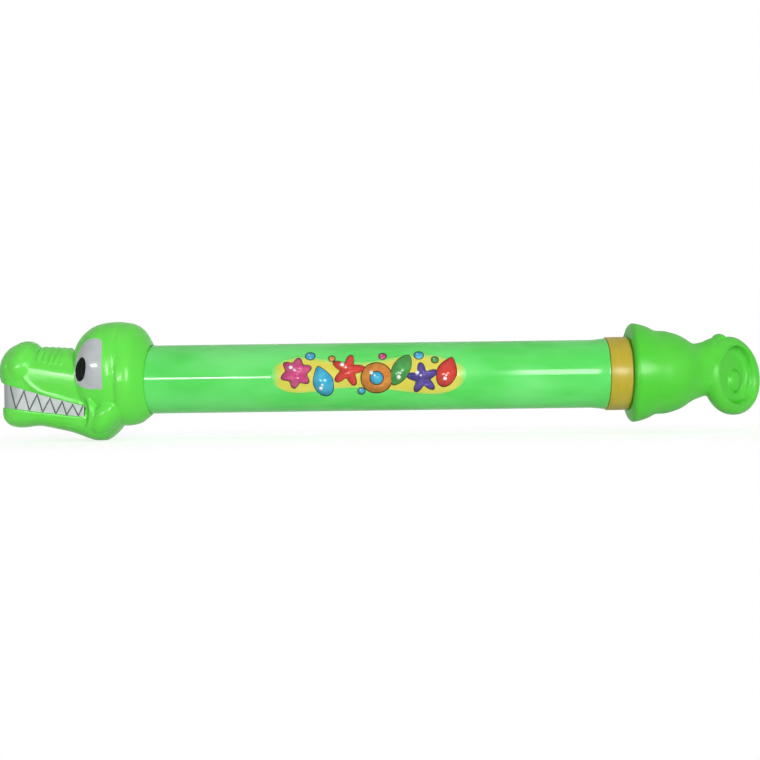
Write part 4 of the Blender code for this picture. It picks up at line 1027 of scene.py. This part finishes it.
@dataclass
class Print:
    """The print on the tube: a sunny patch with plain beach shapes, laid on the tube's curve."""

    patch_lift: float = 0.03 * MM
    line_lift: float = 0.06 * MM
    ink_lift: float = 0.09 * MM
    hole_lift: float = 0.1 * MM
    dot_lift: float = 0.12 * MM
    thickness: float = 0.04 * MM
    line_width: float = 0.75
    start: float = -82.0
    length: float = 140.0
    # the patch: distance over which it fades, how much faster at its lower edge and ends, part that is rounded
    fade: float = 4.5
    lower_fade: float = 2.0
    end_fade: float = 0.6
    rounding: float = 0.2
    # height of an edge at the ends, bulge, wave, waves along the patch and their phase
    upper_edge: Row = (4.0, 10.5, 3.0, 1.5, 0.6)
    lower_edge: Row = (1.0, -13.0, 3.4, 1.0, -1.1)
    # width of a drop, its taper, how late the taper begins, share of the line at its sides
    drop: Row = (0.62, 0.55, 1.4, 0.25)
    # width of a leaf and its roundness
    leaf: Point = (0.5, 0.35)
    ring_hole: float = 0.46
    # shift, rise and radius of the white spots on a broad and on a narrow motif, as shares of its size
    broad_glints: Rows = ((-0.34, 0.352, 0.12), (-0.12, 0.176, 0.07))
    narrow_glints: Rows = ((-0.136, -0.44, 0.12), (-0.048, -0.22, 0.07))
    # motif, ink, place along the patch, place round the tube, size and turn in degrees
    motifs: tuple[tuple[Motif, Finish, float, float, float, float], ...] = (
        (Motif.FLOWER, INK_PINK, 18.0, 3.5, 11.4, 10.0),
        (Motif.DROP, INK_BLUE, 37.0, -3.0, 11.4, -18.0),
        (Motif.STAR, INK_RED, 55.0, 5.0, 12.0, 12.0),
        (Motif.RING, INK_ORANGE, 75.5, -1.0, 11.2, 0.0),
        (Motif.LEAF, INK_GREEN, 93.0, 5.0, 12.6, 28.0),
        (Motif.STAR, INK_VIOLET, 108.5, -1.5, 11.4, -8.0),
        (Motif.DROP, INK_RED, 126.0, 3.0, 11.4, 20.0),
        (Motif.DOT, INK_BLUE, 28.0, 16.5, 3.4, 0.0),
        (Motif.DOT, INK_ORANGE, 43.5, 14.0, 2.4, 0.0),
        (Motif.DOT, INK_BLUE, 64.5, -10.5, 2.6, 0.0),
        (Motif.DOT, INK_PINK, 80.0, 15.5, 2.8, 0.0),
        (Motif.DOT, INK_BLUE, 106.0, 16.0, 3.4, 0.0),
        (Motif.DOT, INK_GREEN, 117.5, 12.0, 2.6, 0.0),
    )

    def wrap(self, along: float, round_mm: float, lift: float) -> Vector:
        """A point on the tube from its place along and round it."""
        turn = round_mm * MM / AT.barrel_r
        radius = AT.barrel_r + lift
        return Vector(((self.start + along) * MM, -radius * math.cos(turn), AT.axis + radius * math.sin(turn)))

    def outline(self, motif: Motif, size: float, grow: float) -> list[Point]:
        """The edge of a motif round its own middle.

        Args:
            motif: The shape.
            size: Its reach.
            grow: How much wider it is drawn, for the line round it.

        Returns:
            The points of its edge.
        """
        lobes, depth = LOBES.get(motif, (0, 0.0))
        points = []
        for turn in angles(120):
            reach = size * (1.0 - depth + depth * math.cos(lobes * turn)) + grow
            x, y = reach * math.sin(turn), reach * math.cos(turn)
            if motif is Motif.DROP:
                width, taper, late, line = self.drop
                x *= width * (1.0 - taper * max(math.cos(turn), 0.0) ** late)
                x += math.copysign(line * grow, x)
            elif motif is Motif.LEAF:
                width, roundness = self.leaf
                x *= width * abs(math.sin(turn)) ** roundness
            points.append((x, y))
        return points

    def shape(self, edge: list[Point], place: Point, turn: float, lift: float, ink: Finish) -> Piece:
        """A flat shape laid on the tube.

        Args:
            edge: The points of its edge.
            place: Where its middle is, along and round the tube.
            turn: How far it is turned, in degrees.
            lift: How high it lies over the tube.
            ink: Its finish.

        Returns:
            The new object.
        """
        c, s = math.cos(math.radians(turn)), math.sin(math.radians(turn))
        spun = [(c * x + s * y, c * y - s * x) for x, y in edge]
        deselect()
        bpy.ops.mesh.primitive_circle_add(vertices=len(spun), radius=1.0, fill_type="NGON")
        obj = fresh("shape")
        for vert, (x, y) in zip(obj.data.vertices, spun):
            vert.co = (x, y, 0.0)
        bpy.ops.object.mode_set(mode="EDIT")
        low = math.floor(min(y for _, y in spun))
        for level in range(low, -low + 1):
            bpy.ops.mesh.select_all(action="SELECT")
            bpy.ops.mesh.bisect(plane_co=(0.0, level, 0.0), plane_no=(0.0, 1.0, 0.0))
        bpy.ops.object.mode_set(mode="OBJECT")
        for vert in obj.data.vertices:
            vert.co = self.wrap(place[0] + vert.co.x, place[1] + vert.co.y, lift)
        return dress(obj, ink)

    def dot(self, radius: float, place: Point, lift: float, ink: Finish) -> Piece:
        """A round spot laid on the tube."""
        return self.shape(self.outline(Motif.DOT, radius, 0.0), place, 0.0, lift, ink)

    def edge(self, row: Row, share: float, pinch: float) -> float:
        """The height of one of the patch's edges, some way along it."""
        height, bulge, wave, waves, phase = row
        return height + pinch * (bulge + wave * math.sin(2 * math.pi * waves * share + phase))

    def patch(self) -> Piece:
        """The yellow ground, thin towards its edge."""
        columns, rows = 180, 36
        deselect()
        bpy.ops.mesh.primitive_grid_add(x_subdivisions=columns, y_subdivisions=rows, size=1.0)
        obj = fresh("patch")
        fade = obj.data.attributes.new("fade", "FLOAT", "POINT")
        for vert in obj.data.vertices:
            share, across = vert.co.x + 0.5, vert.co.y + 0.5
            along = share * self.length
            ends = min(1.0, min(share, 1.0 - share) / self.rounding)
            pinch = math.sqrt(max(1.0 - (1.0 - ends) ** 2, 0.0))
            top, bottom = self.edge(self.upper_edge, share, pinch), self.edge(self.lower_edge, share, pinch)
            place = bottom + across * (top - bottom)
            inside = min(top - place, self.lower_fade * (place - bottom),
                         self.end_fade * min(along, self.length - along))
            step = min(max(inside / self.fade, 0.0), 1.0)
            fade.data[vert.index].value = step * step * (3.0 - 2.0 * step)
            vert.co = self.wrap(along, place, self.patch_lift)
        return dress(obj, INK_YELLOW)

    def build(self) -> None:
        """Builds the print as one piece with all its inks."""
        pieces = [self.patch()]
        for motif, ink, along, around, size, turn in self.motifs:
            place, half = (along, around), self.line_width / 2
            pieces.append(self.shape(self.outline(motif, size, half), place, turn, self.line_lift, INK_LINE))
            pieces.append(self.shape(self.outline(motif, size, -half), place, turn, self.ink_lift, ink))
            if motif is Motif.RING:
                hole = self.ring_hole * size
                pieces.append(self.dot(hole, place, self.hole_lift, INK_LINE))
                pieces.append(self.dot(hole - self.line_width, place, self.dot_lift, INK_BLUE))
            glints = self.narrow_glints if motif in (Motif.DROP, Motif.LEAF) else self.broad_glints
            for shift, rise, radius in glints:
                spot = (along + shift * size, around + rise * size)
                pieces.append(self.dot(radius * size, spot, self.dot_lift, INK_WHITE))
        label = joined("tube_print", pieces)
        modify(label, "SOLIDIFY", thickness=self.thickness, offset=-1.0)
        pick(label)
        bpy.ops.object.shade_smooth()
        mount(label, Body.BARREL, "tube_green")


# ---------------------------------------------------------------- plunger and tail


@dataclass
class Plunger:
    """The rod that slides in the barrel and the hub that joins it to the handle."""

    front: float = -0.177898
    rear: float = 0.208134
    rod_wall: float = 1.7 * MM
    hub_r: float = 25.0 * MM
    hub_disc: float = 3.2 * MM
    hub_length: float = 34.0 * MM
    hub_wall: float = 3.2 * MM
    pin_place: float = 20.0 * MM
    pin_r: float = 1.8 * MM

    def drilled(self, obj: Piece) -> Piece:
        """A piece with the hole for the cross pin."""
        x = AT.tail + self.pin_place
        edge = [(x + self.pin_r * math.cos(t), AT.axis + self.pin_r * math.sin(t)) for t in angles(32)]
        return smoothed(combine(obj, prism("drill", edge, -CLEAR, CLEAR), Cut.REMOVE), TURNED_EDGE)

    def build(self) -> None:
        """Builds and dresses the rod and the hub."""
        profile = tube_wall(self.front, self.rear, AT.rod_r - self.rod_wall, AT.rod_r)
        rod = self.drilled(turned("plunger_rod_tube", profile, AT.axis, 96, edge=0.3 * MM))
        mount(dress(rod, NATURAL), Body.PLUNGER, "natural_plastic", "plunger_rod")
        hole = AT.rod_r + AT.fit
        tube_r, disc, end = hole + self.hub_wall, AT.tail + self.hub_disc, AT.tail + self.hub_length
        profile = [(AT.tail, hole), (AT.tail, self.hub_r), (disc, self.hub_r), (disc, tube_r), (end, tube_r),
                   (end, hole)]
        hub = self.drilled(turned("tail_hub_moulding", profile, AT.axis, 128, edge=0.5 * MM))
        mount(dress(hub, NATURAL), Body.PLUNGER, "natural_plastic", "tail_hub")


@dataclass
class Tail:
    """The handle: a flanged base, a neck and a curl that winds in on itself."""

    voxel: float = 0.62 * MM
    wall: float = 2.4
    hub_r: float = 25.3 * MM
    hub_depth: float = 4.1 * MM
    web_r: float = 24.0
    web: float = 2.8
    band_depth: float = 1.4
    lead_depth: float = 1.04
    # how often the skin is smoothed once its forms are joined, and again with the knob
    form_rounds: int = 2
    knob_rounds: int = 4
    lump: float = 0.25
    lump_mm: float = 11.0
    yaw: float = math.radians(40.0)
    coil_place: Row = (77.9, 4.0, -2.6)
    # turn in degrees, distance from the middle of the curl, half width of the band
    band: Rows = (
        (100.0, 23.8, 5.6), (60.0, 22.0, 5.6), (30.0, 23.0, 5.6), (0.0, 25.2, 5.5), (-30.0, 26.6, 5.5),
        (-60.0, 25.4, 5.6), (-90.0, 23.6, 5.6), (-120.0, 22.6, 5.6), (-150.0, 22.7, 5.5), (-180.0, 22.8, 5.3),
        (-220.0, 23.0, 5.2), (-260.0, 23.8, 5.4), (-285.0, 22.8, 5.2),
    )
    # height out of the curl's middle and radius of the dish in its open face
    dish: tuple[Point, ...] = ((2.2, 17.4), (3.4, 19.1), (5.0, 20.1), (8.0, 21.0), (20.0, 23.0))
    dish_shift: Row = (-2.4, 0.0, 0.6)
    # the tail from the neck up into the band: place, side, height and radius
    lead: Rows = (
        (50.0, -1.0, 3.0, 17.6), (56.0, -2.0, 5.2, 15.6), (61.0, -3.2, 8.4, 13.2), (66.0, -3.8, 12.8, 10.2),
        (70.0, -2.4, 17.2, 7.6), (73.8, 0.6, 19.9, 5.9), (78.2, 4.3, 20.4, 4.9), (82.0, 7.4, 19.4, 4.6),
    )
    boss: tuple[Row, Row] = ((5.2, -53.0), (8.0, 5.0, 8.8))
    # place back from the front, reach to the sides and reach up and down
    base: Rows = (
        (0.0, 29.0, 29.2), (1.4, 31.0, 33.8), (2.6, 31.6, 35.8), (3.6, 31.8, 36.5), (4.6, 31.9, 36.5),
        (7.0, 31.9, 36.1), (11.0, 31.8, 35.0), (15.0, 31.5, 33.5), (18.6, 31.1, 31.6), (20.4, 30.9, 30.9),
        (23.0, 30.6, 30.7), (28.0, 30.0, 30.4), (34.0, 28.4, 28.8), (40.0, 25.8, 26.4), (45.6, 22.4, 22.7),
        (49.0, 20.2, 20.6), (53.0, 17.0, 17.4), (56.0, 13.0, 13.4), (58.0, 8.0, 8.4),
    )
    base_rise: float = 0.5
    # the part of the base that is hollow behind the hub's seat
    hollow_span: Point = (7.0, 44.0)
    # place, side shift, height, half width, half height
    neck: Rows = (
        (44.0, 0.0, 0.4, 22.6, 22.8), (49.0, 0.0, 0.6, 20.0, 20.9), (55.0, -0.6, 2.2, 17.2, 20.2),
        (60.0, -1.6, 4.1, 15.2, 20.4), (64.0, -2.0, 5.6, 13.4, 20.2), (68.0, 0.2, 6.6, 10.4, 18.8),
        (73.0, 3.6, 7.6, 7.0, 16.0), (80.0, 6.0, 8.0, 4.0, 10.0),
    )
    scute: tuple[Row, Row] = ((68.6, 0.6, 24.4), (5.4, 6.0, 4.2))

    def point(self, back: float, side: float, up: float) -> Vector:
        """A point of the handle in the model's frame."""
        return Vector((AT.tail + back * MM, side * MM, AT.axis + up * MM))

    def coil_axis(self) -> Vector:
        """The direction in which the curl's open face looks."""
        return Vector((math.sin(self.yaw), -math.cos(self.yaw), 0.0))

    def coil_point(self, ring: float, turn: float, out: float = 0.0) -> Vector:
        """A point in the plane of the curl, or out of it towards its open face."""
        along = Vector((math.cos(self.yaw), math.sin(self.yaw), 0.0))
        flat = math.cos(turn) * along + math.sin(turn) * Vector((0.0, 0.0, 1.0))
        return self.point(*self.coil_place) + (ring * flat + out * self.coil_axis()) * MM

    def coil_rings(self, rows: list[Point] | tuple[Point, ...], shift: Row = (0.0, 0.0, 0.0)) -> list[Ring]:
        """Circles about the middle of the curl, each given by its height and radius."""
        move = Vector(shift) * MM
        return [[self.coil_point(ring, turn, out) + move for turn in angles(96)] for out, ring in rows]

    def coil(self) -> list[Piece]:
        """The curl: the tail's band laid round in a ring, and the web that closes it."""
        rows = smooth_rows(self.band, 8)
        path = [self.coil_point(ring, math.radians(turn)) for turn, ring, _ in rows]
        band = swept("band", path, [half * MM for _, _, half in rows], self.coil_axis(), 28, self.band_depth)
        return [band, lofted("web", self.coil_rings([(-self.web, self.web_r), (self.web, self.web_r)]))]

    def knob(self) -> Piece:
        """The boss in the dish, where the curl ends."""
        (ring, turn), radii = self.boss
        place = Matrix.Translation(self.coil_point(ring, math.radians(turn)))
        return ball("boss", place @ Matrix.Rotation(self.yaw, 4, "Z") @ stretch(radii))

    def forms(self) -> list[Piece]:
        """The forms that make up the handle."""
        base = [oval(self.point(x, 0.0, self.base_rise), side * MM, up * MM, up * MM, count=120)
                for x, side, up in smooth_rows(self.base, 3)]
        necks = [oval(self.point(x, y, z), w * MM, h * MM, h * MM) for x, y, z, w, h in smooth_rows(self.neck, 4)]
        rows = smooth_rows(self.lead, 6)
        lead = swept("lead", [self.point(*row[:3]) for row in rows], [row[3] * MM for row in rows],
                     Vector((0.0, -1.0, 0.0)), 48, self.lead_depth)
        centre, radii = self.scute
        bump = Matrix.Translation(self.point(*centre)) @ stretch(radii)
        return [lofted("base", base), lofted("neck", necks), lead, ball("scute", bump)] + self.coil()

    def lumps(self, tail: Piece) -> None:
        """Presses the skin in by soft hollows, as on a hand-filled mould."""
        normals = [vert.normal.copy() for vert in tail.data.vertices]
        for vert, normal in zip(tail.data.vertices, normals):
            depth = 0.5 + 0.5 * noise.noise(vert.co * per(self.lump_mm))
            vert.co -= normal * depth * self.lump * MM

    def build(self) -> None:
        """Builds and dresses the handle."""
        tail = fused(joined("tail_handle", self.forms()), self.voxel, self.form_rounds)
        combine(tail, lofted("dish", self.coil_rings(self.dish, self.dish_shift)), Cut.REMOVE)
        tail = fused(joined("tail_handle", [tail, self.knob()]), self.voxel, self.knob_rounds)
        self.lumps(tail)
        seat = AT.tail + self.hub_depth
        hollow = [(AT.tail - CLEAR, self.hub_r), (seat, self.hub_r)]
        first, last = self.hollow_span
        hollow += [(AT.tail + x * MM, (side - self.wall) * MM) for x, side, _ in self.base if first < x < last]
        combine(tail, turned("hollow", hollow, AT.axis, 96, False), Cut.REMOVE)
        smoothed(tail, MOULDED_EDGE)
        mount(dress(tail, TAIL_GREEN), Body.PLUNGER, "tail_green", "tail_shell")


@dataclass
class Works:
    """The pieces inside that keep their CAD shape."""

    natural: tuple[str, ...] = ("nozzle_plug", "spout_tube", "piston", "rod_plug")
    rubber: tuple[str, ...] = ("plug_seal", "piston_seal", "stop_washer")
    steel: tuple[str, ...] = ("piston_screw", "cross_pin")

    def build(self) -> None:
        """Dresses the nodes."""
        for names, finish in ((self.natural, NATURAL), (self.rubber, SEAL_BLACK), (self.steel, ZINC_STEEL)):
            for name in names:
                dress(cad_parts[name], finish)
                LOG.info("%s: CAD shape in %s", name, finish.name)


# ---------------------------------------------------------------- studio


@dataclass
class Studio:
    """A white sweep, soft lamps and the camera."""

    focal_px: float = 1300.0
    picture_px: float = 760.0
    sensor_mm: float = 36.0
    distance: float = 0.9555
    centre: Row = (AT.nose + 0.2779, 0.0, AT.axis - 0.0025)
    yaw: float = -0.8
    roll: float = -0.75
    world_strength: float = 0.56
    floor_size: Point = (8.0, 4.8)
    floor_place: Row = (0.0, -0.6, -0.3 * MM)
    backdrop: float = 3.0
    bend: float = 0.6
    # the paper: its own white, and the grey and glow that show a faint shadow near the toy
    paper_white: str = "#f4f4f4"
    floor_grey: str = "#b0b0b0"
    floor_glow: float = 0.75
    shadow_span: Point = (0.05, 0.22)

    def seen(self, tree: Tree) -> Socket:
        """1 for rays that show the background: those from the camera, a mirror or glass."""
        path = add(tree, "ShaderNodeLightPath", {})
        shown = path.outputs["Is Camera Ray"]
        for ray in ("Is Glossy Ray", "Is Transmission Ray"):
            shown = add(tree, "ShaderNodeMath", {0: shown, 1: path.outputs[ray]}, operation="MAXIMUM").outputs[0]
        return shown

    def sweep(self) -> None:
        """The floor, drawn up into a backdrop."""
        deselect()
        bpy.ops.mesh.primitive_plane_add(size=1.0)
        floor = fresh("studio_sweep")
        floor.data.transform(Matrix.Translation(self.floor_place) @ Matrix.Diagonal((*self.floor_size, 1.0, 1.0)))
        bpy.ops.object.mode_set(mode="EDIT")
        bpy.ops.mesh.select_mode(type="EDGE")
        bm = bmesh.from_edit_mesh(floor.data)
        for edge in bm.edges:
            edge.select_set(all(v.co.y > 0.0 for v in edge.verts))
        bmesh.update_edit_mesh(floor.data)
        bpy.ops.mesh.extrude_region_move(TRANSFORM_OT_translate={"value": (0.0, 0.0, self.backdrop)})
        bpy.ops.object.mode_set(mode="OBJECT")
        modify(floor, "BEVEL", width=self.bend, segments=12, limit_method="ANGLE")
        pick(floor)
        bpy.ops.object.shade_smooth()
        floor.data.materials.append(self.paper())

    def paper(self) -> bpy.types.Material:
        """White paper that lights the object evenly and shows a shadow only near it."""
        paper = bpy.data.materials.new("white_studio_paper")
        tree = bare_tree(paper)
        plain = add(tree, "ShaderNodeBsdfDiffuse", {"Color": linear(self.paper_white)})
        shaded = add(tree, "ShaderNodeBsdfDiffuse", {"Color": linear(self.floor_grey)})
        glow = add(tree, "ShaderNodeEmission", {"Strength": self.floor_glow})
        near = add(tree, "ShaderNodeAddShader", {0: shaded.outputs[0], 1: glow.outputs[0]})
        far = add(tree, "ShaderNodeEmission", {"Strength": 1.0})
        coords = add(tree, "ShaderNodeTexCoord", {})
        across = add(tree, "ShaderNodeSeparateXYZ", {0: coords.outputs["Object"]})
        apart = add(tree, "ShaderNodeMath", {0: across.outputs["Y"]}, operation="ABSOLUTE")
        start, end = self.shadow_span
        white = add(tree, "ShaderNodeMapRange", {"Value": apart.outputs[0], "From Min": start, "From Max": end},
                    interpolation_type="SMOOTHSTEP")
        shown = add(tree, "ShaderNodeMixShader", {0: white.outputs[0], 1: near.outputs[0], 2: far.outputs[0]})
        mixed = add(tree, "ShaderNodeMixShader", {0: self.seen(tree), 1: plain.outputs[0], 2: shown.outputs[0]})
        add(tree, "ShaderNodeOutputMaterial", {"Surface": mixed.outputs[0]})
        return paper

    def world(self) -> None:
        """An even pale light from all round."""
        sky = bpy.data.worlds.new("studio_world")
        bpy.context.scene.world = sky
        tree = bare_tree(sky)
        back = add(tree, "ShaderNodeBackground", {"Strength": self.world_strength})
        add(tree, "ShaderNodeOutputWorld", {"Surface": back.outputs[0]})

    def lamp(self, name: str, place: Row, target: Row, size: Point, power: float, mirrored_too: bool) -> None:
        """An area lamp.

        Args:
            name: The lamp's name.
            place: Where it hangs.
            target: What it looks at.
            size: Its width and height.
            power: Its power in watts.
            mirrored_too: Whether it is a bare lamp that gloss shows, and not a wide silk that lights the colours.
        """
        deselect()
        bpy.ops.object.light_add(type="AREA", location=place)
        lamp = fresh(name)
        lamp.rotation_euler = (Vector(target) - Vector(place)).to_track_quat("-Z", "Y").to_euler()
        lamp.data.shape = "RECTANGLE"
        lamp.data.size, lamp.data.size_y = size
        lamp.data.energy = power
        lamp.visible_glossy = mirrored_too
        lamp.visible_diffuse = not mirrored_too
        lamp.visible_camera = False

    def lamps(self) -> None:
        """Broad silks for the light, and a strip and a window that draw the highlights."""
        middle, head, rear = (0.0, 0.0, AT.axis), (-0.2, 0.0, AT.axis), (0.15, 0.0, AT.axis)
        self.lamp("front_silk", (0.3, -1.66, 0.27), middle, (1.6, 0.5), 25.5, False)
        self.lamp("top_silk", (0.0, -0.3, 1.4), middle, (1.8, 1.0), 2.5, False)
        self.lamp("back_silk", (-0.1, 1.3, 0.42), middle, (1.6, 0.6), 6.5, False)
        self.lamp("strip", (-0.58, -0.96, AT.axis + 0.05), head, (0.64, 0.062), 6.2, True)
        self.lamp("window", (0.34, -0.95, AT.axis + 0.13), rear, (0.36, 0.26), 5.0, True)

    def camera(self) -> None:
        """The camera at the photograph's angle."""
        deselect()
        bpy.ops.object.camera_add()
        camera = bpy.context.object
        camera.data.sensor_width = self.sensor_mm
        camera.data.lens = self.focal_px / self.picture_px * self.sensor_mm
        camera.data.clip_start = 0.01
        turn = Matrix.Rotation(math.radians(self.yaw), 4, "Z")
        back = Matrix.Translation((0.0, -self.distance, 0.0)) @ Matrix.Rotation(math.radians(90.0), 4, "X")
        roll = Matrix.Rotation(math.radians(self.roll), 4, "Z")
        camera.matrix_world = Matrix.Translation(self.centre) @ turn @ back @ roll
        bpy.context.scene.camera = camera

    def build(self) -> None:
        """Sets the stage."""
        self.sweep()
        self.world()
        self.lamps()
        self.camera()
        bpy.context.scene.view_settings.view_transform = "Standard"


def main() -> None:
    """Builds the object piece by piece, then the studio round it."""
    logging.basicConfig(level=logging.INFO, format="%(message)s")
    for assembly in (Studio(), Head(), Barrel(), Print(), Plunger(), Tail(), Works()):
        LOG.info("building %s", type(assembly).__name__)
        assembly.build()
    deselect()


if __name__ == "__main__":
    main()
